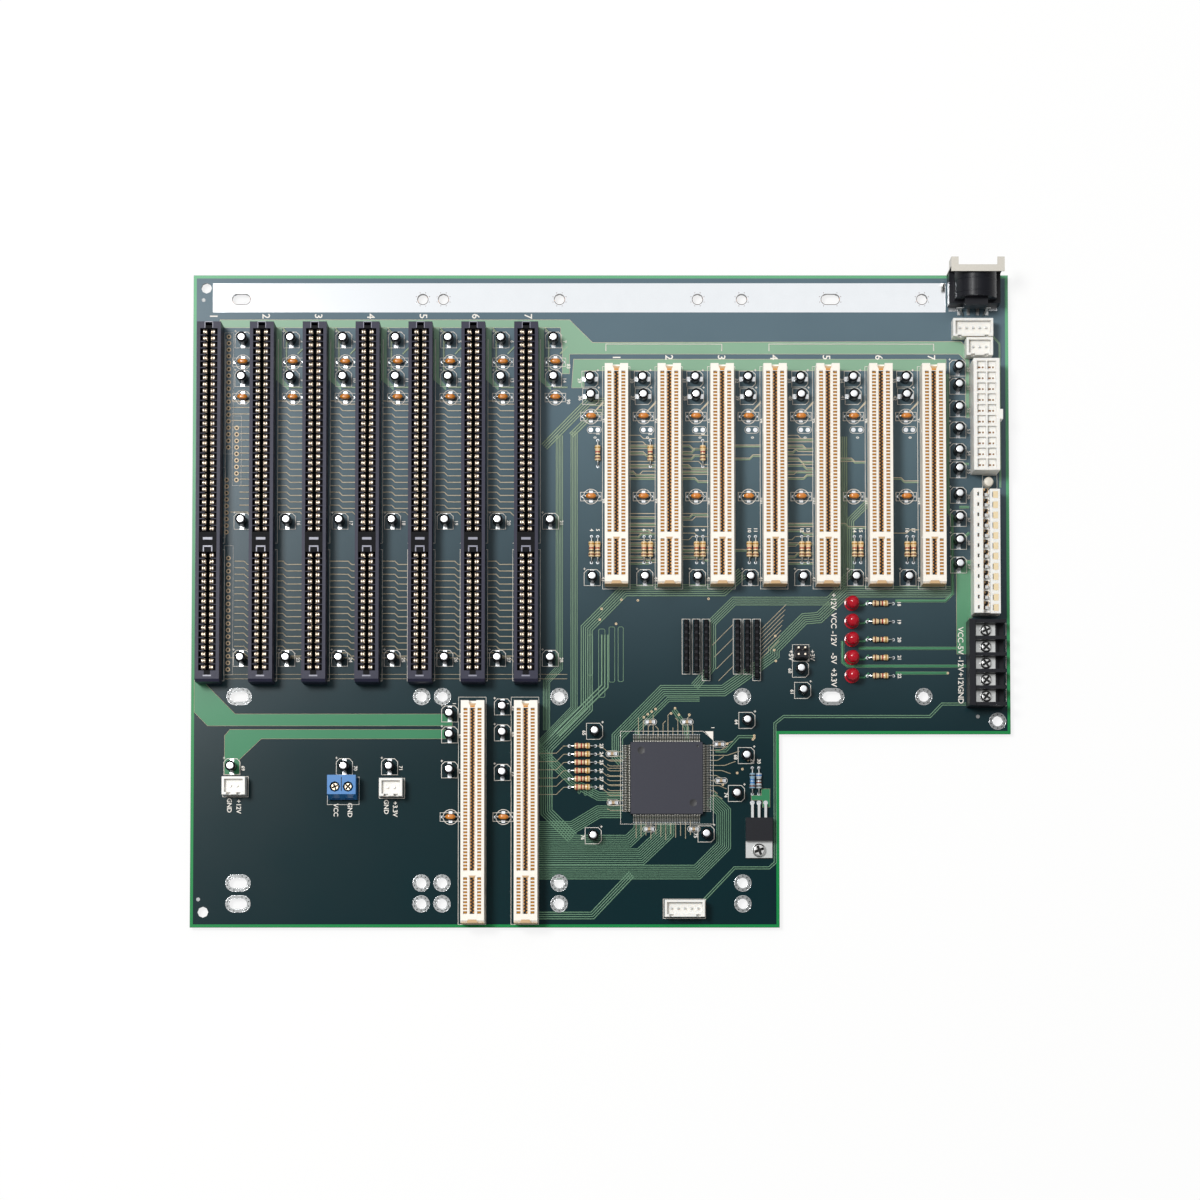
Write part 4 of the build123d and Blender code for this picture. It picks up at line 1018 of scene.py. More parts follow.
    def chip_fan(self, work: FlatWork) -> None:
        """Single tracks from the bridge chip's leads."""
        for k in range(6):
            v = 69.9 - 3.18 * k
            work.line([(155.9, v), (157.8, v), (160.6, v - 2.2), (166.6, v - 2.2)], 0.3)
            work.line([(145.7, v), (143.6, v), (140.8, v - 2.8), (133, v - 2.8)], 0.3)
        for k, (length, lean) in enumerate(((7.5, 0), (6.5, 0), (5, 1), (8.6, 0), (4.2, -1), (6.2, 1), (9.4, 1),
                                            (3.6, 0), (7.4, -1), (5.4, 0), (8.4, 1), (4.6, 0))):
            u = 172.4 + 1.9 * k
            work.line([(u, 73.4), (u, 73.4 + length - abs(lean)), (u + lean, 73.4 + length)], self.fan_width)
            work.line([(u - 0.9, 41.2), (u - 0.9, 37.5 - 0.4 * length)], self.fan_width)
        for k, length in enumerate((9.5, 7.5, 12, 6, 10.5, 8.6, 5.2, 4, 7, 3.6, 5.4)):
            v = 70.2 - 1.95 * k
            rise = 1.6 if k < 5 else -1.2
            work.line([(199.3, v), (199.3 + length * 0.6, v), (199.3 + length, v + rise)], self.fan_width)
        for k in range(12):
            v = 66 - 1.9 * k
            work.line([(160.4, v + 0.6), (161.5, v), (166.9, v)], self.fan_width)

    def track_work(self) -> None:
        """Narrow tracks and the glint round each wide area."""
        work = FlatWork("tracks", TRACK_MASK, 0, 0.05)
        for route, width in self.thick_tracks:
            for side in (-1, 1):
                work.line(beside(route, side * width / 2), 0.18)
        for u in WIDE_U[1:]:
            work.line([(u + 6.9, 232.5), (u + 8.5, 230.8), (u + 8.5, 216.2), (u + 11.4, 213.1)], 0.75)
            work.line([(u + 12.9, 222.2), (u + 15.8, 225.2)], 0.75)
            work.line([(u + 10.2, 209.2), (u + 15.8, 209.2)], 0.75)
        for route, count, pitch in self.bundles:
            for k in range(count):
                work.line(beside(route, (k - (count - 1) / 2) * pitch), pitch * 0.62)
        for u, high, low, wide in self.hairpins:
            half, corner = wide / 2, 0.45
            work.line([(u - half, low + corner), (u - half, high - corner), (u - half + corner, high),
                       (u + half - corner, high), (u + half, high - corner), (u + half, low + corner),
                       (u + half - corner, low), (u - half + corner, low), (u - half, low + corner)], 0.32)
        single = FlatWork("single_tracks", BUS_MASK, 0.01, 0.06)
        for outline in self.pours:
            single.line([*outline, outline[0]], 0.22)
        self.bus(single)
        self.fine_bus(single, work)
        self.chip_fan(single)
        for v in (97.6, 95.9):
            single.line([(13, v), (145, v)], 0.25)
        work.made()
        single.made()

    def strip_metal(self) -> FlatWork:
        """The wide earth strip, open at its holes."""
        low_u, low_v, high_u, high_v = self.strip
        work = FlatWork("earth_strip", STRIP_TIN, 0.03, 0.09)
        work.shape([(low_u, low_v), (high_u, low_v), (high_u, high_v), (low_u, high_v)])
        for u, stretch in TOP_HOLES:
            work.shape(round_outline(u, self.top_row, self.hole, stretch))
        return work

    def strip_edges(self) -> FlatWork:
        """Bare copper at the edge of each hole in the strip, and the ticks round it."""
        work = FlatWork("strip_relief", BARE_COPPER, 0.09, 0.05)
        for u, stretch in TOP_HOLES:
            work.line(round_outline(u, self.top_row, self.hole + 0.12, stretch), 0.2, True)
            for du, dv in round_outline(0, 0, 2.75, stretch, 8):
                work.shape(round_outline(u + du, self.top_row + dv, 0.17, 0, 6))
        return work

    def land_metal(self) -> tuple[FlatWork, ...]:
        """Lands round the screw holes with their bright edges and small vias drawn as dots of painted shade, and
        the tooling holes.
        """
        lands = FlatWork("hole_lands", LAND_TIN, 0.03, 0.09)
        edges = FlatWork("land_edges", LEVELLED_TIN, 0.05, 0.09)
        dots = FlatWork("land_vias", PAINTED_SHADE_BLACK, 0.08, 0.01)
        for u, v, stretch in LAND_HOLES:
            lands.ring(u, v, self.land, self.hole, (20, 20), stretch)
            for du, dv in round_outline(0, 0, 2.68, stretch, 10):
                dots.shape(round_outline(u + du, v + dv, 0.26, 0, 8))
            for radius in (self.hole + 0.12, self.land - 0.1):
                edges.line(round_outline(u, v, radius, stretch), 0.22, True)
        for u, v in TOOLING_HOLES:
            lands.shape(round_outline(u, v, 0.75, 0, 12))
        return lands, edges, dots

    def pad_metal(self) -> tuple[FlatWork, ...]:
        """The rings of the empty pads and of the vias, and the painted shade of their holes."""
        rings = FlatWork("open_pads", COPPER_RING, 0.03, 0.09)
        drills = FlatWork("open_drills", PAINTED_SHADE_BLACK, 0.02, 0.03)
        pads = [(u, v - WIDE_PITCH * k) for u, v, count in self.pad_columns for k in range(count)]
        for places, outer, inner, sides in ((pads, 0.9, 0.5, (12, 8)), (self.vias, 0.48, 0.2, (10, 6))):
            for u, v in places:
                rings.ring(u, v, outer, inner, sides)
                drills.shape(round_outline(u, v, inner, 0, sides[1]))
        return rings, drills

    def build(self) -> None:
        """Lays all the copper on the board."""
        self.pour_work()
        self.rim_work()
        self.track_work()
        for work in (self.strip_metal(), *self.land_metal(), self.strip_edges(), *self.pad_metal()):
            work.made()


def spring(route: Route, width: float, thick: float, finish: Finish) -> Piece:
    """A bent contact strip.

    Args:
        route: Its side view as (x, z) points in millimetres.
        width: Along the slot.
        thick: Of the sheet.
        finish: Its finish.

    Returns:
        The piece, centred across its width.
    """
    points = [(x * MM, z * MM, 0) for x, z in route]
    take(drawn("strip", [(points, False)], dimensions="2D", extrude=width / 2 * MM))
    bpy.ops.object.convert(target="MESH")
    piece = moved(bpy.context.object, (0, 0, 0), 90, "X")
    modify(piece, "SOLIDIFY", thickness=thick * MM, offset=0)
    return dressed(piece, finish)


def mirrored(piece: Piece) -> Piece:
    """Adds the mirror image of a piece across the slot's middle plane."""
    return outward(modify(piece, "MIRROR", use_axis=(True, False, False), use_mirror_merge=False))


@dataclass(frozen=True)
class SlotKind:
    """One kind of card slot: its nodes, and the plan of its contacts from the upper end."""

    names: tuple[str, ...]
    pitch: float
    first: float
    groups: Rows

    def places(self, height: float | None = None) -> list[tuple[Vector, float]]:
        """The first contact of each slot, at the slot's mouth or at a height in metres."""
        places = []
        for name in self.names:
            low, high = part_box(name)
            level = high[2] if height is None else height
            places.append((Vector(((low[0] + high[0]) / 2, high[1] - self.first * MM, level)), 0))
        return places


WIDE_KIND = SlotKind(tuple(f"isa_slot_{i + 1}" for i in range(7)), WIDE_PITCH, 3.9, ((0, 31), (34, 18)))
FINE_KIND = SlotKind((*[f"pci_slot_{i + 1}" for i in range(7)], "cpu_slot_1", "cpu_slot_2"), FINE_PITCH, 3.6,
                     ((0, 49), (51, 11)))


@dataclass
class WideSlots:
    """The seven black sixteen-bit slots: dividers and sprung contacts in their troughs.

    Painted shade patches and painted highlight patches are (x, y, length, width) from the first contact, flat on
    the mouth.
    """

    kind: SlotKind = WIDE_KIND
    trough: float = 6.7
    depth: float = 8.8
    tooth_inner: float = 1.15
    tooth_thick: float = 0.45
    tooth_height: float = 3.0
    tooth_base: float = -3.2
    contact_width: float = 1.75
    contact_thick: float = 0.25
    arch: Route = ((2.6, -2.6), (2.35, -0.9), (1.8, -0.45), (1.5, -1.3), (1.25, -0.7), (0.85, -0.8), (0.7, -2.4))
    recesses: Rows = ((0, 1.75, 2.5, 1.2), (0, -81.3, 6.8, 7.7), (0, -131.6, 2.4, 1.7))
    bright_edges: Rows = (
        (0, -80, 3.6, 0.95), (0, -83, 3.6, 0.55), (0, -132.75, 3.2, 0.55), (-1.5, 2.6, 0.25, 2.4),
        (1.5, 2.6, 0.25, 2.4), (0, 3.8, 3.2, 0.25), (-1.6, -84.1, 0.45, 1.9), (1.6, -84.1, 0.45, 1.9),
    )

    def cells(self) -> Piece:
        """The dividers, contacts, painted shade and painted highlights of one slot, its first contact at the
        origin and its mouth at zero.
        """
        pitch = self.kind.pitch
        step = (0, -pitch, 0)
        tooth_length = self.trough / 2 - self.tooth_inner
        parts = []
        for start, count in self.kind.groups:
            top = -start * pitch
            tooth = block((tooth_length, self.tooth_thick, self.tooth_height),
                          (self.tooth_inner + tooth_length / 2, top - pitch / 2, self.tooth_base), BLACK_PBT)
            with picked(tooth, facing("z")):
                bpy.ops.transform.resize(value=(0.92, 0.6, 1))
            parts.append(mirrored(row(tooth, count - 1, step)))
            contact = moved(spring(self.arch, self.contact_width, self.contact_thick, GOLD_FLASH), (0, top, 0))
            parts.append(mirrored(row(contact, count, step)))
            length = count * pitch
            # The trough's floor, in the moulding's painted shade.
            floor = (0, top + pitch / 2 - length / 2, -self.depth)
            parts.append(block((self.trough, length, 0.1), floor, BLACK_PBT_PAINTED_SHADE))
        # Dark patches of painted shade over the openings on the mouth, and pale patches of painted highlight on
        # its edges.
        for finish, rise, patches in ((BLACK_PBT_PAINTED_SHADE, 0, self.recesses), (BLACK_PBT_PAINTED_HIGHLIGHT, 0.02, self.bright_edges)):
            parts += [plate(length, width, (x, y, rise), finish) for x, y, length, width in patches]
        return joined(parts)

    def build(self) -> None:
        """Fits every slot of this kind."""
        for name in self.kind.names:
            dressed(bpy.data.objects[name], BLACK_PBT)
        mount(copies(self.cells(), self.kind.places()), "wide_slot_contacts", "gold")


@dataclass
class FineSlots:
    """The nine ivory fine-pitch slots: ribs between the windows, and contacts in the windows and groove.

    Mouths are (y, width, narrow width, finish) of the cut at the groove's upper end and below the key, drawn as
    painted warm shade and lit orange.
    """

    kind: SlotKind = FINE_KIND
    offset: float = 2.67
    window: float = 1.5
    window_depth: float = 1.2
    rib: float = 0.52
    groove: float = 1.6
    nose: Spot = (0.62, 0.66, 0.5)
    nose_offset: float = 0.56
    end_cut: tuple[float, float] = (4.2, 1.2)
    end_face: Spot = (8.9, 0.05, 9.6)
    mouths: tuple[tuple[float, float, float, Finish], ...] = ((2, 2.7, 2, TAN_PAINTED_SHADE), (1.2, 1.9, 1.6, AMBER_NOSE))
    key_mouths: tuple[tuple[float, float, float, Finish], ...] = ((0.9, 2.7, 2, TAN_PAINTED_SHADE),)

    def group(self, start: int, count: int) -> list[Piece]:
        """The ribs and contacts of one run of contacts.

        Args:
            start: How many contacts lie above it.
            count: How many it has.

        Returns:
            The pieces.
        """
        pitch = self.kind.pitch
        step, top, length = (0, -pitch, 0), -start * pitch, count * pitch
        rib = block((self.window, self.rib, self.window_depth),
                    (self.offset, top - pitch / 2, -self.window_depth), IVORY_PBT)
        parts = [mirrored(row(rib, count - 1, step))]
        tail = block((self.window - 0.1, pitch - self.rib, 0.3), (self.offset, top, -0.75), AMBER_CONTACT)
        with picked(tail, facing("z")):
            bpy.ops.transform.translate(value=(0, 0, 0.1 * MM))
            bpy.ops.transform.resize(value=(0.6, 0.8, 1))
        parts.append(mirrored(row(tail, count, step)))
        for side, shift in ((1, 0), (-1, -pitch / 2)):
            nose = eased(block(self.nose, (side * self.nose_offset, top + shift, -1), AMBER_NOSE), 0.15)
            parts.append(row(nose, count - (side < 0), step))
        # Painted shade: a black sheet on the groove's floor.
        parts.append(block((self.groove, length, 0.1), (0, top + pitch / 2 - length / 2, -1.3), PAINTED_SHADE_BLACK))
        for place, wide, narrow, finish in self.key_mouths if start else self.mouths:
            mouth = block((wide, 0.75, PATCH_THICK), (0, top + place, 0), finish)
            with picked(mouth, facing("y", -1)):
                bpy.ops.transform.resize(value=(narrow / wide, 1, 1))
            parts.append(mouth)
        return parts

    def cells(self) -> Piece:
        """Everything in one slot, its first contact at the origin and its mouth at zero."""
        parts = [part for start, count in self.kind.groups for part in self.group(start, count)]
        low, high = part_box(self.kind.names[-1])
        end = (low[1] - high[1]) / MM + self.kind.first
        # Painted shade: a tan patch for the notch at the low end, and a tan plate over the end face.
        painted_shade_notch = block((*self.end_cut, 0.04), (0, end + 0.62, 0), TAN_PAINTED_SHADE)
        with picked(painted_shade_notch, facing("y")):
            bpy.ops.transform.resize(value=(0.75, 1, 1))
        end_face = eased(block(self.end_face, (0, end - 0.03, -9.8), TAN_PAINTED_SHADE), 0.01)
        return joined([*parts, painted_shade_notch, end_face])

    def build(self) -> None:
        """Fits every slot of this kind."""
        for name in self.kind.names:
            dressed(bpy.data.objects[name], IVORY_PBT)
        mount(copies(self.cells(), self.kind.places()), "fine_slot_contacts", "gold")


@dataclass
class Cans:
    """Every small electrolytic capacitor: sleeve, bright top with its vent cross, and legs."""

    diameter: float = 4.0
    ring: float = 0.68
    seed: int = 7
    nodes: tuple[str, ...] = ("isa_capacitors", "pci_capacitors", "supply_capacitors", "board_capacitors")

    def one(self, height: float) -> Piece:
        """One capacitor at the origin."""
        body = drum(self.diameter, height, (0, 0, 0), PVC_SLEEVE, 20)
        with picked(body, facing("z")):
            bpy.ops.mesh.inset(thickness=self.ring * MM)
            bpy.ops.transform.translate(value=(0, 0, -0.25 * MM))
        with picked(body, facing("z", -1)):
            bpy.ops.mesh.inset(thickness=0.4 * MM)
        eased(body, 0.25, 2)
        top = drum(self.diameter - 2 * self.ring - 0.1, 0.2, (0, 0, height - 0.3), PRESSED_ALUMINIUM, 16)
        with picked(top, facing("z")):
            bpy.ops.mesh.inset(thickness=0.35 * MM)
            bpy.ops.transform.translate(value=(0, 0, 0.05 * MM))
        return joined([body, top])

    def build(self) -> None:
        """Stands a capacitor in place of each plain one, each turned its own way."""
        turns = random.Random(self.seed)
        for node in self.nodes:
            boxes = solids(node)
            height = (boxes[0][1].z - boxes[0][0].z) / MM
            places = [(middle(box), turns.uniform(0, 360)) for box in boxes]
            mount(copies(self.one(height), places), f"{node}_dressed", "can", node)


@dataclass
class Marks:
    """White print on the board, and the tinned pads that it frames."""

    can_box: float = 6.2
    can_corner: float = 1.2
    plus_reach: float = 0.45
    print_line: float = 0.34
    number_size: float = 1.9
    bare_u: float = 150.0
    bare_v: float = 130.0
    pads: FlatWork = field(default_factory=lambda: FlatWork("solder_pads", LEVELLED_TIN, 0.03, 0.09))
    ink: FlatWork = field(default_factory=lambda: FlatWork("print", PRINT_INK, 0.055, 0.03))
    labels: tuple[tuple[str, float, float], ...] = (
        ("+12V", 247.7, 125.9), ("VCC", 247.7, 118.4), ("-12V", 247.7, 111.5), ("-5V", 247.7, 103.8),
        ("+3.3V", 247.7, 96.4), ("VCC", 296.6, 112.9), ("-5V", 296.6, 107.5), ("-12V", 296.6, 101.6),
        ("+12V", 296.6, 95.2), ("GND", 296.6, 89.6), ("GND", 14.9, 47), ("+12V", 18.5, 46.6),
        ("VCC", 55.9, 45.2), ("GND", 61.3, 45.2), ("GND", 75.3, 46.4), ("+3.3V", 78.7, 45.6), ("+5V", 231.2, 105),
        ("+3V", 239.4, 105),
    )

    def pad_pair(self, outline: Callable[..., Route], place: tuple[float, float], reach: float, way: Lie,
                 *size: float) -> None:
        """Adds two pads, one on either side of a place.

        Args:
            outline: What draws each pad.
            place: In board millimetres.
            reach: How far each lies from it.
            way: Whether they lie along the slots or across them.
            size: Sizes of each pad, for the outline.
        """
        u, v = place
        for side in (-1, 1):
            middle_of_pad = (u, v + reach * side) if way is Lie.ALONG else (u + reach * side, v)
            self.pads.shape(outline(*middle_of_pad, *size))

    def can_marks(self, number: int, u: float, v: float, way: Lie) -> None:
        """Pads, frame, polarity mark and number of one capacitor.

        Args:
            number: Its number.
            u: Its place along the board.
            v: Its place across the board.
            way: How its two pads lie.
        """
        half, cut = self.can_box / 2, self.can_corner
        if u <= self.bare_u or v >= self.bare_v:
            self.pad_pair(box_outline, (u, v), 2.45, way, 1.5, 1.4 if way is Lie.ALONG else 1.8)
        if way is Lie.ALONG:
            frame = [(-half, -half), (half, -half), (half, half - cut), (half - cut, half), (-half + cut, half),
                     (-half, half - cut)]
            plus_u, plus_v, number_u = u - half + 0.1, v + half + 0.3, u + half + 1.1
        else:
            frame = [(-half, -half), (half - cut, -half), (half, -half + cut), (half, half - cut),
                     (half - cut, half), (-half, half)]
            plus_u, plus_v, number_u = u + half, v + half + 0.4, u - half - 1
        self.ink.line([(u + x, v + y) for x, y in frame], self.print_line, True)
        for du, dv in ((self.plus_reach, 0), (0, self.plus_reach)):
            self.ink.line([(plus_u - du, plus_v - dv), (plus_u + du, plus_v + dv)], 0.3)
        self.ink.word(str(number), number_u, v - 0.6, self.number_size, -90)

    def capacitors(self) -> None:
        """Marks for every electrolytic and ceramic capacitor."""
        number = 1
        for node in Cans().nodes:
            for box in solids(node):
                u, v = board_uv(middle(box))
                across = (node == "pci_capacitors" and v > 200) or (node == "board_capacitors" and u > 150)
                self.can_marks(number, u, v, Lie.ACROSS if across else Lie.ALONG)
                number += 1
        for node in ("isa_ceramic_capacitors", "pci_ceramic_capacitors"):
            for box in solids(node):
                u, v = board_uv(middle(box))
                self.ink.line(box_outline(u, v, 8, 3.3), self.print_line, True)
                self.ink.line(round_outline(u, v, 2.9, 0, 16), self.print_line, True)
                self.pad_pair(box_outline, (u, v), 1.75, Lie.ALONG, 1.4, 1.1)
                self.pad_pair(round_outline, (u, v), 3.2, Lie.ACROSS, 0.5, 0, 10)
                self.ink.word(str(number), u + 5, v - 1.6, self.number_size, -90)
                number += 1

    def resistors(self) -> None:
        """Lead pads and numbers of the resistors."""
        number = 1
        for node in ("pull_up_resistors", "lamp_resistors", "chip_resistors", "film_resistors"):
            for box in solids(node):
                u, v = board_uv(middle(box))
                self.pad_pair(round_outline, (u, v), Resistors.leg_reach, lie(box), 0.6, 0, 12)
                place = (u, v + 7.6) if lie(box) is Lie.ALONG else (u + 7.3, v)
                self.ink.word(str(number), *place, self.number_size, -90)
                number += 1

    def slot_frames(self) -> None:
        """Lines round the slots, and a number over each."""
        for number, u in enumerate(WIDE_U, 1):
            self.ink.line([(u + 5.3, 228), (u + 5.3, 148.5), (u - 5.3, 148.5)], 0.28)
            self.ink.line([(u - 5.3, 146), (u + 5.3, 146), (u + 5.3, 95.1), (u - 5.3, 95.1)], 0.28, True)
            self.ink.word(str(number), u + 0.4, 237, 4.2, -90)
        for number, u in enumerate(FINE_U, 1):
            self.ink.line(box_outline(u, 174, 10.6, 86.6), 0.3, True)
            self.ink.word(str(number), u, 220.9, 4.2, -90)
        for u in CPU_U:
            self.ink.line(box_outline(u, 45, 10.6, 87.6), 0.3, True)
            self.ink.word("1", u - 7, 86.3, 1.8, -90)
        for low, high in ((159.9, 204.8), (223.1, 286.9)):
            self.ink.line([(low, 223.4), (low, 226.1), (high, 226.1), (high, 223.4)], 0.45)
        for u, low, high in ((12.2, 183.2, 230.5), (15.4, 170.9, 198), (9.4, 150.6, 178), (12.5, 97.4, 147.5)):
            self.ink.line([(u, high), (u, low), (u + 3.4, low), (u + 3.4, high)], 0.16, True)

    def chip_frame(self) -> None:
        """The square, the corner mark and the pads of the bridge chip, and the frames of the networks."""
        self.ink.line([(165.5, 39.8), (201.2, 39.8), (201.2, 72.2), (197.4, 75.6), (165.5, 75.6)], 0.25, True)
        self.ink.shape([(198, 75.6), (201.2, 75.6), (201.2, 72)])
        chip = Bridge()
        for k in range(chip.side_leads):
            shift = chip.pitch * (k - (chip.side_leads - 1) / 2)
            self.pad_pair(box_outline, (chip.u + shift, chip.v), 16.95, Lie.ALONG, 0.3, 0.3)
            self.pad_pair(box_outline, (chip.u, chip.v + shift), 16.95, Lie.ACROSS, 0.3, 0.3)
        self.ink.word("1", 201, 77, 1.7, -90)
        for box in solids("resistor_networks"):
            length = (box[1].y - box[0].y) / MM
            self.ink.line(box_outline(*board_uv(middle(box)), 3, length + 1), 0.36, True)
        for box in solids("chip_capacitors"):
            u, v = board_uv(middle(box))
            self.pad_pair(box_outline, (u, v), 1.2, lie(box), 1.3, 1.3)
            stretch = 0 if lie(box) is Lie.ALONG else 2.6
            self.ink.line(round_outline(u, v, 1.15, stretch, 12), 0.18, True)

    def small_frames(self) -> None:
        """Frames and labels round the connectors, and the empty pad pairs between the fine slots."""
        for text, u, v in self.labels:
            self.ink.word(text, u, v, 3 if u > 240 else 2.5, -90)
        for u in FINE_U:
            self.pad_pair(round_outline, (u - 8.5, 192.6), 1.35, Lie.ACROSS, 0.95, 0, 8)
            self.ink.line(round_outline(u - 8.5, 192.6, 1.35, 2.8, 16), 0.2, True)
            self.ink.word("0", u - 8.3, 189.6, 1.6, -90)
        for u, v, length, width in ((58.8, 52.6, 12.2, 10.6), (235, 105.9, 6.4, 6.4), (308.3, 172.3, 5.6, 5.2),
                                    (17.3, 54.2, 9.8, 7.8), (77.5, 53.6, 9.8, 7.8), (190, 7.2, 16.2, 7.4)):
            self.ink.line(box_outline(u, v, length, width), 0.32, True)
        self.ink.line([(313, 118.3), (314.2, 118.3), (314.2, 85.4), (312.5, 85.4)], 0.25)
        for u, v, side in ((294.4, 239.6, 3.4), (309.8, 239.9, 3.4)):
            self.pads.shape(box_outline(u, v, side, 1.6))
        for u in (216.2, 218.7, 221.3):
            self.pads.shape(round_outline(u, 48, 0.9, 0, 12))

    def build(self) -> None:
        """Prints everything."""
        self.capacitors()
        self.resistors()
        self.slot_frames()
        self.chip_frame()
        self.small_frames()
        self.pads.made()
        self.ink.made()


@dataclass
class Ceramics:
    """Dipped ceramic capacitors, each with a soft-edged body and two formed legs."""

    length: float = 4.1
    thick: float = 1.85
    taper: float = 1.1
    height: float = 3.3
    leg_span: float = 3.2

    def one(self) -> Piece:
        """One capacitor at the origin, its legs to the left and right."""
        body = block((self.length - 2 * self.taper, self.thick, self.height), (0, 0, 0.2), DIPPED_RESIN)
        for side in (-1, 1):
            with picked(body, facing("x", side)):
                bpy.ops.mesh.extrude_region_move(TRANSFORM_OT_translate={"value": (side * self.taper * MM, 0, 0)})
                bpy.ops.transform.resize(value=(1, 0.4, 0.6))
        eased(body, 0.4, 2)
        bpy.ops.object.shade_smooth_by_angle(angle=math.radians(60))
        legs = [wire([(side * x, 0, z) for x, z in ((1.3, 1.9), (2.5, 1.9), (3.1, 1.3), (self.leg_span, 0))],
                     0.45, TIN_PLATE) for side in (-1, 1)]
        return joined([body, *legs])

    def build(self) -> None:
        """Stands one in place of each plain one."""
        for node in ("isa_ceramic_capacitors", "pci_ceramic_capacitors"):
            places = [(middle(box), 0) for box in solids(node)]
            mount(copies(self.one(), places), f"{node}_dressed", "ceramic", node)


@dataclass
class Resistors:
    """Axial resistors: a waisted lacquered body, four colour bands and two bent legs."""

    radius: float = 1.14
    waist: float = 0.95
    length: float = 6.2
    axis: float = 1.3
    leg_reach: float = 5.05
    band_half: float = 0.28
    sides: int = 12

    def one(self, lacquer: Finish, bands: Sequence[Finish]) -> Piece:
        """One resistor at the origin, lying along the slots.

        Args:
            lacquer: The finish of its body.
            bands: The finish of each band, from the upper end.

        Returns:
            The piece.
        """
        half = self.length / 2
        big, small = self.radius, self.waist
        end = [(0.5, half), (big * 0.92, half - 0.25), (big, half - 0.6), (big, half - 1.5), (small, half - 1.9)]
        parts = [turned([(radius, -z) for radius, z in end] + end[::-1], lacquer, self.sides)]
        for place, band in zip((half - 1.05, 0.75, -0.35, -half + 1.05), bands):
            reach = big if abs(place) > 1.3 else small
            ends = [(reach + 0.02, place - self.band_half), (reach + 0.02, place + self.band_half)]
            parts.append(turned(ends, band, self.sides))
        piece = moved(joined(parts), (0, 0, self.axis), 90, "X")
        reach = self.leg_reach
        bends = ((half * 0.97, self.axis), (reach - 0.5, self.axis), (reach, self.axis - 0.5), (reach, -0.1))
        legs = [wire([(0, side * y, z) for y, z in bends], 0.55, TIN_PLATE) for side in (-1, 1)]
        return joined([piece, *legs])

    def build(self) -> None:
        """Lays one in place of each plain one, along or across the slots."""
        sand = (BAND_BROWN, BAND_BLACK, BAND_RED, BAND_GOLD)
        for node, bands in (("pull_up_resistors", sand), ("lamp_resistors", sand[::-1]),
                            ("chip_resistors", (BAND_GOLD, BAND_BROWN, BAND_RED, BAND_RED))):
            places = [(middle(box), lie(box).value) for box in solids(node)]
            mount(copies(self.one(SAND_LACQUER, bands), places), f"{node}_dressed", "resistor", node)
        left, right = sorted((middle(box) for box in solids("film_resistors")), key=lambda place: place.x)
        pair = joined([
            copies(self.one(BLUE_LACQUER, (BAND_BROWN, BAND_BLUE, BAND_BLUE, BAND_BLACK)), [(left, 0)]),
            copies(self.one(PALE_LACQUER, (BAND_BLACK, BAND_BROWN, BAND_BLACK, BAND_BLUE)), [(right, 0)]),
        ])
        mount(pair, "film_resistors_dressed", "film_resistor", "film_resistors")


@dataclass
class Networks:
    """Single-line resistor networks: a black dipped body that swells over each pin."""

    pitch: float = WIDE_PITCH

    def build(self) -> None:
        """Stands one in place of each plain one."""
        made = []
        for low, high in solids("resistor_networks"):
            u, v = board_uv(middle((low, high)))
            width, length, height = ((high - low) / MM)[:]
            x, y, z = spot(u, v) / MM
            body = eased(block((width - 0.75, length - 0.1, height - 0.35), (x, y, z), PVC_SLEEVE), 0.35, 2)
            count = int(length / self.pitch)
            top = y + self.pitch * (count - 1) / 2
            knob = block((1.3, 1.5, 0.7), (x, top, z + height - 0.75), BLACK_PHENOLIC)
            made += [body, row(eased(knob, 0.3, 2), count, (0, -self.pitch, 0))]
            pin = block((0.5, 0.3, 0.4), (x + 1.35, top, z), TIN_PLATE)
            with picked(pin, facing("z")):
                bpy.ops.transform.resize(value=(0.6, 1, 1))
            made.append(row(pin, count, (0, -self.pitch, 0)))
        mount(joined(made), "resistor_networks_dressed", "black_plastic", "resistor_networks")


@dataclass
class Lamps:
    """Five red lamps: flanged, domed, with the lead frame inside."""

    radius: float = 2.45
    flange: float = 2.85
    height: float = 8.55

    def build(self) -> None:
        """Stands one in place of each plain one."""
        r, top = self.radius, self.height
        shell = turned([(self.flange, 0), (self.flange, 0.9), (r, 1), (r, top - 2.4), (r * 0.97, top - 1.7),
                        (r * 0.86, top - 1.05), (r * 0.66, top - 0.5), (r * 0.38, top - 0.13), (0.05, top)],
                       RED_EPOXY, 28)
        cup = turned([(0.5, 1.2), (0.5, 4.6), (0.95, 5.6), (0.95, 5.9), (0.5, 5.6)], TIN_PLATE, 12)
        post = eased(block((0.5, 0.7, 3.9), (1.3, 0.3, 1.2), TIN_PLATE), 0.1)
        one = joined([shell, cup, post])
        mount(copies(one, [(middle(box), 0) for box in solids("lamps")]), "lamps_dressed", "lens", "lamps")


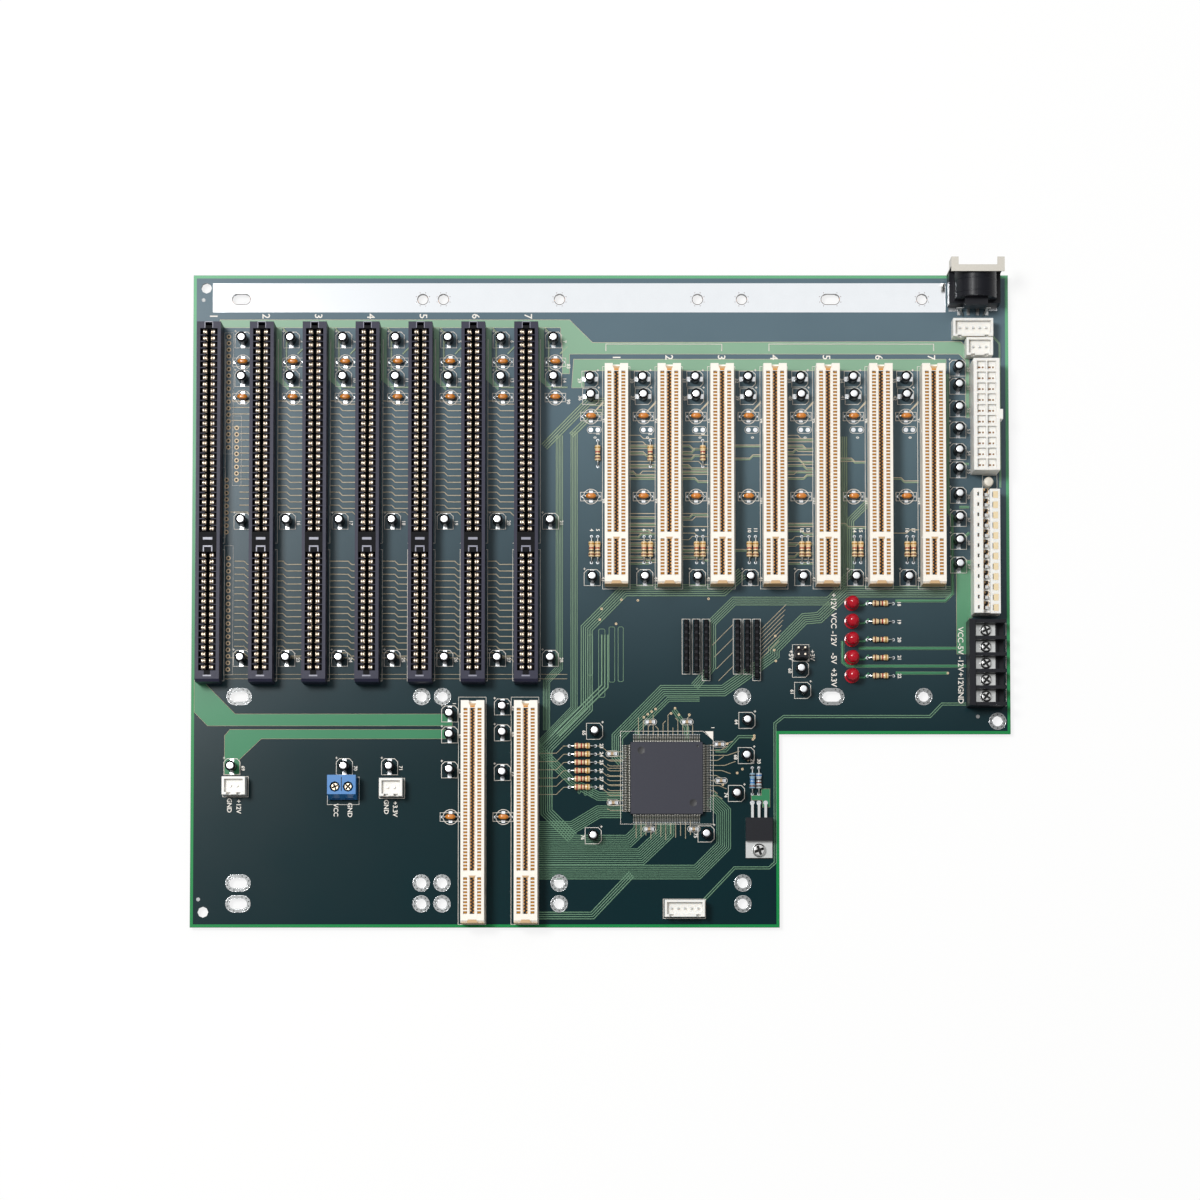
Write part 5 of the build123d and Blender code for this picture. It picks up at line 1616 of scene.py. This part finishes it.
@dataclass
class Bridge:
    """The square bridge chip's leads and mould marks, and the chip capacitors round it."""

    u: float = 183.2
    v: float = 57.4
    side_leads: int = 40
    pitch: float = 0.65
    lead_width: float = 0.4

    def leads(self) -> None:
        """Gull-wing leads on the four sides."""
        route = [(13.6, 1.75), (14.4, 1.75), (14.8, 1.45), (15.3, 0.3), (15.6, 0.14), (16.8, 0.14)]
        first = (0, self.pitch * (self.side_leads - 1) / 2, 0)
        lead = moved(spring(route, self.lead_width, 0.13, LEAD_PLATE), first)
        side = row(lead, self.side_leads, (0, -self.pitch, 0))
        place = spot(self.u, self.v)
        mount(copies(side, [(place, turn) for turn in (0, 90, 180, 270)]), "bridge_chip_leads", "tinned")

    def mould_marks(self) -> None:
        """Two shallow ejector circles and the first-pin dot in the upper face, painted dark as their shade."""
        centre = spot(self.u, self.v) / MM
        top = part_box("bridge_chip")[1][2] / MM - centre.z
        made = []
        for du, dv, radius, deep in ((-9.8, 10.6, 1.45, 0.05), (10.2, -9.6, 1.45, 0.05), (12, 12.2, 0.5, 0.06)):
            made.append(turned([(radius, top - 0.02), (radius, top + 0.02), (radius * 0.93, top + 0.02),
                                (radius * 0.9, top + deep * 0.2)], EPOXY_PAINTED_SHADE, 24))
            moved(made[-1], (centre.x + du, centre.y + dv, centre.z))
        mount(joined(made), "bridge_chip_marks", "chip")

    def chip_capacitors(self) -> None:
        """A ceramic block with a tinned cap on each end."""
        made = []
        for low, high in solids("chip_capacitors"):
            width, length, height = *sorted(((high - low) / MM).xy), (high.z - low.z) / MM
            body = eased(block((length - 0.6, width - 0.1, height - 0.08), (0, 0, 0.04), SINTERED_CERAMIC), 0.06)
            ends = [eased(block((0.5, width, height), (side * (length / 2 - 0.25), 0, 0), LEVELLED_TIN), 0.1, 2)
                    for side in (-1, 1)]
            turn = Lie.ACROSS.value - lie((low, high)).value
            made.append(copies(joined([body, *ends]), [(middle((low, high)), turn)]))
        mount(joined(made), "chip_capacitors_dressed", "chip_capacitor", "chip_capacitors")

    def build(self) -> None:
        """Fits all of it."""
        dressed(bpy.data.objects["bridge_chip"], CHIP_EPOXY)
        self.leads()
        self.mould_marks()
        self.chip_capacitors()


@dataclass
class Terminals:
    """Screws of the terminal block, the clamp and the regulator."""

    seed: int = 3

    def screws(self, node: str, finish: Finish, diameter: float, under: float = 0.0) -> None:
        """Puts a cross-recess screw in place of each plain one.

        Args:
            node: The plain screws' node.
            finish: Its finish.
            diameter: Of its head in millimetres.
            under: Height below the head that is shank.
        """
        boxes = solids(node)
        height = (boxes[0][1].z - boxes[0][0].z) / MM - under
        head = cross_screw(diameter, height, finish)
        if under:
            moved(head, (0, 0, under))
            head = joined([head, turned([(1.3, 0), (1.45, 0.3), (1.45, under + 0.3)], finish, 16)])
        turns = random.Random(self.seed)
        places = [(middle(box), turns.uniform(0, 90)) for box in boxes]
        mount(copies(head, places), f"{node}_dressed", "tinned", node)

    def build(self) -> None:
        """Fits every screw, and the pressure washers of the terminal block."""
        low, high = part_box("wire_clamp")
        across, top = (low[0] + high[0]) / 2 / MM, high[2] / MM
        # Painted shade: a dark strip for the gap between the clamp's two sections.
        line = block((0.3, 5.4, 0.06), (across, (low[1] + high[1]) / 2 / MM + 1, top - 0.03), PAINTED_SHADE_BLACK)
        mount(eased(line, 0.01), "wire_clamp_line", "black_plastic")
        washers = [(middle(box) - Vector((0, 0, 0.02 * MM)), 0) for box in solids("barrier_screws")]
        ring = turned([(2.25, 0), (2.25, 0.35), (2, 0.45), (1.9, 0.45)], ZINC_STEEL, 24)
        mount(copies(ring, washers), "barrier_washers", "tinned")
        self.screws("barrier_screws", ZINC_STEEL, 4.2)
        self.screws("wire_clamp_screws", CLAMP_STEEL, 3.35)
        self.screws("regulator_screw", ZINC_STEEL, 5.1, 4.9)


@dataclass
class KeyboardSocket:
    """The round socket's smooth barrel, ribs and bent lugs over its plain solids."""

    diameter: float = 16.18
    axis: float = 10.0
    sides: int = 64
    ribs: tuple[float, ...] = (3.6, 8.6)
    rib_height: float = 0.12
    lug_back: float = 13.0

    def barrel(self, x: float, front: float) -> None:
        """The smooth barrel and its two ribs.

        Args:
            x: The middle of the socket, in millimetres.
            front: Its front face.
        """
        r, height = self.diameter / 2, BOARD_TOP + self.axis
        big = r + self.rib_height
        shell = turned([(r - 0.3, 0), (r, 0.3), (r, 10.7), (r - 0.3, 10.95)], BLACK_PHENOLIC, self.sides)
        rib = ((r, 0), (big, 0.1), (big, 0.45), (r, 0.55))
        rings = [turned(rib, BLACK_PHENOLIC, self.sides) for _ in self.ribs]
        for piece in (shell, *rings):
            with picked(piece, lambda middle, normal: abs(normal.z) > SQUARE_ON):
                bpy.ops.mesh.delete(type="ONLY_FACE")
        modify(shell, "SOLIDIFY", thickness=0.08 * MM, offset=-1)
        parts = [moved(piece, (x, front - back, height), 90, "X")
                 for piece, back in zip((shell, *rings), (0, *self.ribs))]
        mount(joined(parts), "keyboard_socket_barrel", "black_plastic")

    def lugs(self, x: float, front: float) -> None:
        """A bent lug on either side, with its leg.

        Args:
            x: The middle of the socket, in millimetres.
            front: Its front face.
        """
        parts = []
        back = front - self.lug_back
        for side in (-1, 1):
            parts.append(eased(block((2.4, 0.5, 1.6), (x + side * 5.4, back, BOARD_TOP + 2.2), TIN_PLATE), 0.1))
            parts.append(wire([(x + side * reach, back - behind, BOARD_TOP + z)
                               for reach, behind, z in ((5.3, 0, 2.6), (4.6, 1.4, 2), (3.9, 2.3, 0.2))],
                              0.8, TIN_PLATE))
        mount(joined(parts), "keyboard_socket_lugs", "tinned")

    def build(self) -> None:
        """Fits what the plain solids leave out."""
        low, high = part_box("keyboard_socket")
        x, front = (low[0] + high[0]) / 2 / MM, high[1] / MM
        self.barrel(x, front)
        self.lugs(x, front)


@dataclass
class Plain:
    """Solids whose own shape is right, the finish of each, and the raised floors and painted shade deep in the
    white headers.

    Painted shades are (x, y, length, width, rise, finish) from the middle of a cell of the twelve-way header.
    """

    finishes: dict[str, Finish] = field(default_factory=lambda: {
        "circuit_board": BOARD_MASK, "barrier_strip": BLACK_PHENOLIC, "barrier_plates": TIN_PLATE,
        "regulator_tab": TIN_PLATE, "regulator_body": BLACK_PHENOLIC, "regulator_leads": TIN_PLATE,
        "regulator_nut": ZINC_STEEL, "atx_header": WHITE_NYLON, "atx_pins": TIN_PLATE, "at_header": WHITE_NYLON,
        "at_pins": TIN_PLATE, "wire_clamp": BLUE_PA, "keyboard_header": WHITE_NYLON, "speaker_header": WHITE_NYLON,
        "front_panel_header": WHITE_NYLON, "fan_header_left": WHITE_NYLON, "fan_header_right": WHITE_NYLON,
        "header_pins": TIN_PLATE, "jumper_base": BLACK_PHENOLIC, "jumper_pins": GOLD_FLASH,
        "jumper_cap": BLACK_PHENOLIC, "keyboard_socket": BLACK_PHENOLIC, "keyboard_socket_shield": DRAWN_SHIELD,
        "keyboard_socket_tails": TIN_PLATE,
    })
    atx_cell: Spot = (3.28, 3.28, 3.7)
    at_cell: Spot = (2.86, 3.7, 5)
    shroud_walls: float = 1.82
    shrouds: tuple[str, ...] = ("keyboard_header", "speaker_header", "front_panel_header", "fan_header_left",
                                "fan_header_right")
    at_shades: tuple[tuple[float, float, float, float, float, Finish], ...] = (
        (0, 1.45, 1.9, 2.3, 0, TAN_PAINTED_SHADE), (-0.25, 1, 1, 1.3, 0.04, PAINTED_SHADE_BLACK),
        (0.25, 1.9, 1, 1.3, 0.04, PAINTED_SHADE_BLACK), (-0.75, 0.1, 0.6, 1, 0.04, SHADED_TIN),
    )

    def atx_floors(self) -> None:
        """Raised floors in the twenty-way header's cells, with the pins' shaded tops painted on them."""
        parts = []
        for box in solids("atx_pins"):
            x, y, z = middle(box) / MM
            parts.append(block(self.atx_cell, (x, y, z + 3.9), WHITE_NYLON))
            parts += [plate(length, 0.65, (x + shift, y - 0.7, z + 3.9 + self.atx_cell[2]), SHADED_TIN)
                      for shift, length in ((-0.75, 1), (0.6, 0.65))]
        mount(joined(parts), "atx_header_floors", "white_plastic")

    def shroud_floors(self) -> None:
        """Raised floors in the five white shrouds."""
        floors = []
        for node in self.shrouds:
            low, high = [Vector(corner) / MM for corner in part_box(node)]
            length, width = (high - low).xy
            place = (*((low + high) / 2).xy, BOARD_TOP + 2.52)
            floors.append(block((length - self.shroud_walls, width - self.shroud_walls, 3.4), place, WHITE_NYLON))
        mount(joined(floors), "shroud_floors", "white_plastic")

    def at_details(self) -> None:
        """Raised floors in the twelve-way header's cells with their painted shades, and the panes in its low wall.
        """
        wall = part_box("at_header")[1][0] / MM - 1.75
        parts = []
        for box in solids("at_pins"):
            x, y, _ = middle(box) / MM
            parts.append(block(self.at_cell, (x, y, BOARD_TOP + 3.22), WHITE_NYLON))
            parts += [plate(length, width, (x + du, y + dv, BOARD_TOP + 3.22 + self.at_cell[2] + rise), finish)
                      for du, dv, length, width, rise, finish in self.at_shades]
            parts.append(plate(1.9, 2.6, (wall, y, BOARD_TOP + 10), CREAM_PBT))
        mount(joined(parts), "at_header_details", "white_plastic")

    def fuse(self) -> None:
        """The round fuse, just inside the plain one."""
        low, high = solids("reset_fuse")[0]
        radius, height = (high.x - low.x) / 2 / MM - 0.12, (high.z - low.z) / MM
        fuse = turned([(radius * 0.8, 0), (radius, 0.5), (radius, height - 0.9), (radius * 0.85, height - 0.3),
                       (radius * 0.5, height - 0.05), (0.05, height)], CREAM_EPOXY, 28)
        mount(copies(fuse, [(middle((low, high)), 0)]), "reset_fuse_dressed", "fuse", "reset_fuse")

    def build(self) -> None:
        """Dresses each, and fits what their cells leave out."""
        for node, finish in self.finishes.items():
            dressed(bpy.data.objects[node], finish)
        self.atx_floors()
        self.shroud_floors()
        self.at_details()
        self.fuse()


@dataclass
class SolderSide:
    """Soldered pins under the board."""

    depth: float = 1.3
    radius: float = 0.8
    can_pin: float = 1.0
    wide_rows: tuple[float, ...] = (-WIDE_PITCH, WIDE_PITCH)
    wide_radius: float = 0.85
    fine_rows: tuple[float, ...] = (-3, -1.2, 1.2, 3)
    fine_radius: float = 0.62

    def joint(self, radius: float) -> Piece:
        """One joint: a cone of solder with the pin's end through it."""
        low = -BOARD_THICK
        return turned([(radius, low + 0.02), (radius * 0.92, low - 0.1), (radius * 0.45, low - 0.6),
                       (radius * 0.3, low - self.depth)], LEVELLED_TIN, 6)

    def slot_joints(self, kind: SlotKind, rows: Sequence[float], radius: float, stagger: int) -> Piece:
        """The joints of every slot of one kind.

        Args:
            kind: The kind of slot.
            rows: How far each row of pins lies from the slot's middle.
            radius: Of a joint.
            stagger: How many rows share the contacts of one side.

        Returns:
            The piece.
        """
        strips = []
        for number, x in enumerate(rows):
            for start, count in kind.groups:
                joint = moved(self.joint(radius), (x, -kind.pitch * (start + number % stagger), 0))
                strips.append(row(joint, count // stagger, (0, -kind.pitch * stagger, 0)))
        return copies(joined(strips), kind.places(BOARD_TOP * MM))

    def build(self) -> None:
        """Solders the slots, the pin headers and the capacitors."""
        pins = [middle(box) for node in ("atx_pins", "at_pins", "header_pins", "jumper_pins")
                for box in solids(node)]
        pins += [middle(box) + Vector((0, side * self.can_pin * MM, 0)) for node in Cans().nodes
                 for box in solids(node) for side in (-1, 1)]
        made = [self.slot_joints(WIDE_KIND, self.wide_rows, self.wide_radius, 1),
                self.slot_joints(FINE_KIND, self.fine_rows, self.fine_radius, 2),
                copies(self.joint(self.radius), [(Vector((*pin.xy, BOARD_TOP * MM)), 0) for pin in pins])]
        mount(joined(made), "solder_joints", "tinned")


@dataclass
class Studio:
    """The floor, the lamps and the camera."""

    eye: Spot = (157.6, -34, 1300)
    lens: float = 101.55
    tilt: float = 3.0
    shift: float = 0.199
    fill: float = 0.295
    mirror_fill: float = 0.4
    paper_white: float = 0.84

    def floor(self) -> None:
        """A plain pale floor that looks white to the camera and in mirrors, and keeps a soft shadow."""
        bpy.ops.object.select_all(action="DESELECT")
        bpy.ops.mesh.primitive_plane_add(size=6)
        floor = bpy.context.object
        floor.name = "floor"
        material = bpy.data.materials.new("pale_paper")
        material.use_nodes = True
        tree = material.node_tree
        tree.nodes.clear()
        path = add_node(tree, "ShaderNodeLightPath").outputs
        seen = self.greater(tree, path["Is Camera Ray"], path["Is Glossy Ray"], path["Is Transmission Ray"])
        share = add_node(tree, "ShaderNodeMath", {0: seen, 1: self.paper_white}, operation="MULTIPLY")
        paper = add_node(tree, "ShaderNodeBsdfDiffuse", {"Color": linear("#f7f7f5")})
        white = add_node(tree, "ShaderNodeEmission", {"Color": linear("#ffffff"), "Strength": 1})
        mixed = add_node(tree, "ShaderNodeMixShader", {0: share.outputs["Value"], 1: paper.outputs[0],
                                                       2: white.outputs[0]})
        add_node(tree, "ShaderNodeOutputMaterial", {"Surface": mixed.outputs[0]})
        floor.data.materials.append(material)

    def greater(self, tree: bpy.types.NodeTree, *values: bpy.types.NodeSocket) -> bpy.types.NodeSocket:
        """The greatest of some values.

        Args:
            tree: The node tree.
            values: The sockets they come from.

        Returns:
            The socket of the result.
        """
        best, *others = values
        for value in others:
            best = add_node(tree, "ShaderNodeMath", {0: best, 1: value}, operation="MAXIMUM").outputs["Value"]
        return best

    def world(self) -> None:
        """Even light from all round, which looks white behind the object."""
        world = bpy.data.worlds.new("studio")
        bpy.context.scene.world = world
        world.use_nodes = True
        tree = world.node_tree
        back = tree.nodes["Background"]
        back.inputs["Color"].default_value = linear("#ffffff")
        path = add_node(tree, "ShaderNodeLightPath").outputs
        shine = add_node(tree, "ShaderNodeMapRange",
                         {"Value": path["Is Glossy Ray"], "To Min": self.fill, "To Max": self.mirror_fill})
        level = self.greater(tree, path["Is Camera Ray"], path["Is Transmission Ray"], shine.outputs["Result"])
        tree.links.new(level, back.inputs["Strength"])

    def lamp(self, name: str, place: Spot, size: float, power: float) -> None:
        """A soft square lamp that faces the middle of the board.

        Args:
            name: Its name.
            place: In metres.
            size: Of its side in metres.
            power: In watts.
        """
        data = bpy.data.lights.new(name, "AREA")
        data.size = size
        data.energy = power
        lamp = bpy.data.objects.new(name, data)
        bpy.context.collection.objects.link(lamp)
        lamp.location = place
        lamp.rotation_euler = (-Vector(place)).to_track_quat("-Z", "Y").to_euler()

    def camera(self) -> None:
        """The photograph's camera: far off, nearly straight above the board."""
        data = bpy.data.cameras.new("camera")
        data.lens = self.lens
        data.sensor_width = 36
        data.shift_y = self.shift
        data.clip_start = 0.1
        data.clip_end = 20
        camera = bpy.data.objects.new("camera", data)
        bpy.context.collection.objects.link(camera)
        camera.location = spot(*self.eye)
        camera.rotation_euler = (math.radians(self.tilt), 0, 0)
        bpy.context.scene.camera = camera

    def build(self) -> None:
        """Sets the stage."""
        self.floor()
        self.world()
        self.camera()
        self.lamp("key_softbox", (-0.6, 0.3, 1.65), 0.4, 23)
        self.lamp("overhead_softbox", (0, 1.15, 2.2), 2.2, 12.5)
        bpy.context.scene.view_settings.view_transform = "Standard"


def main() -> None:
    """Loads the frame, builds every piece and sets the stage."""
    logging.basicConfig(level=logging.INFO, format="%(message)s")
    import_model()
    for group in (Plain, Copper, Marks, WideSlots, FineSlots, Cans, Ceramics, Resistors, Networks, Lamps, Bridge,
                  Terminals, KeyboardSocket, SolderSide, Studio):
        group().build()


if __name__ == "__main__":
    main()
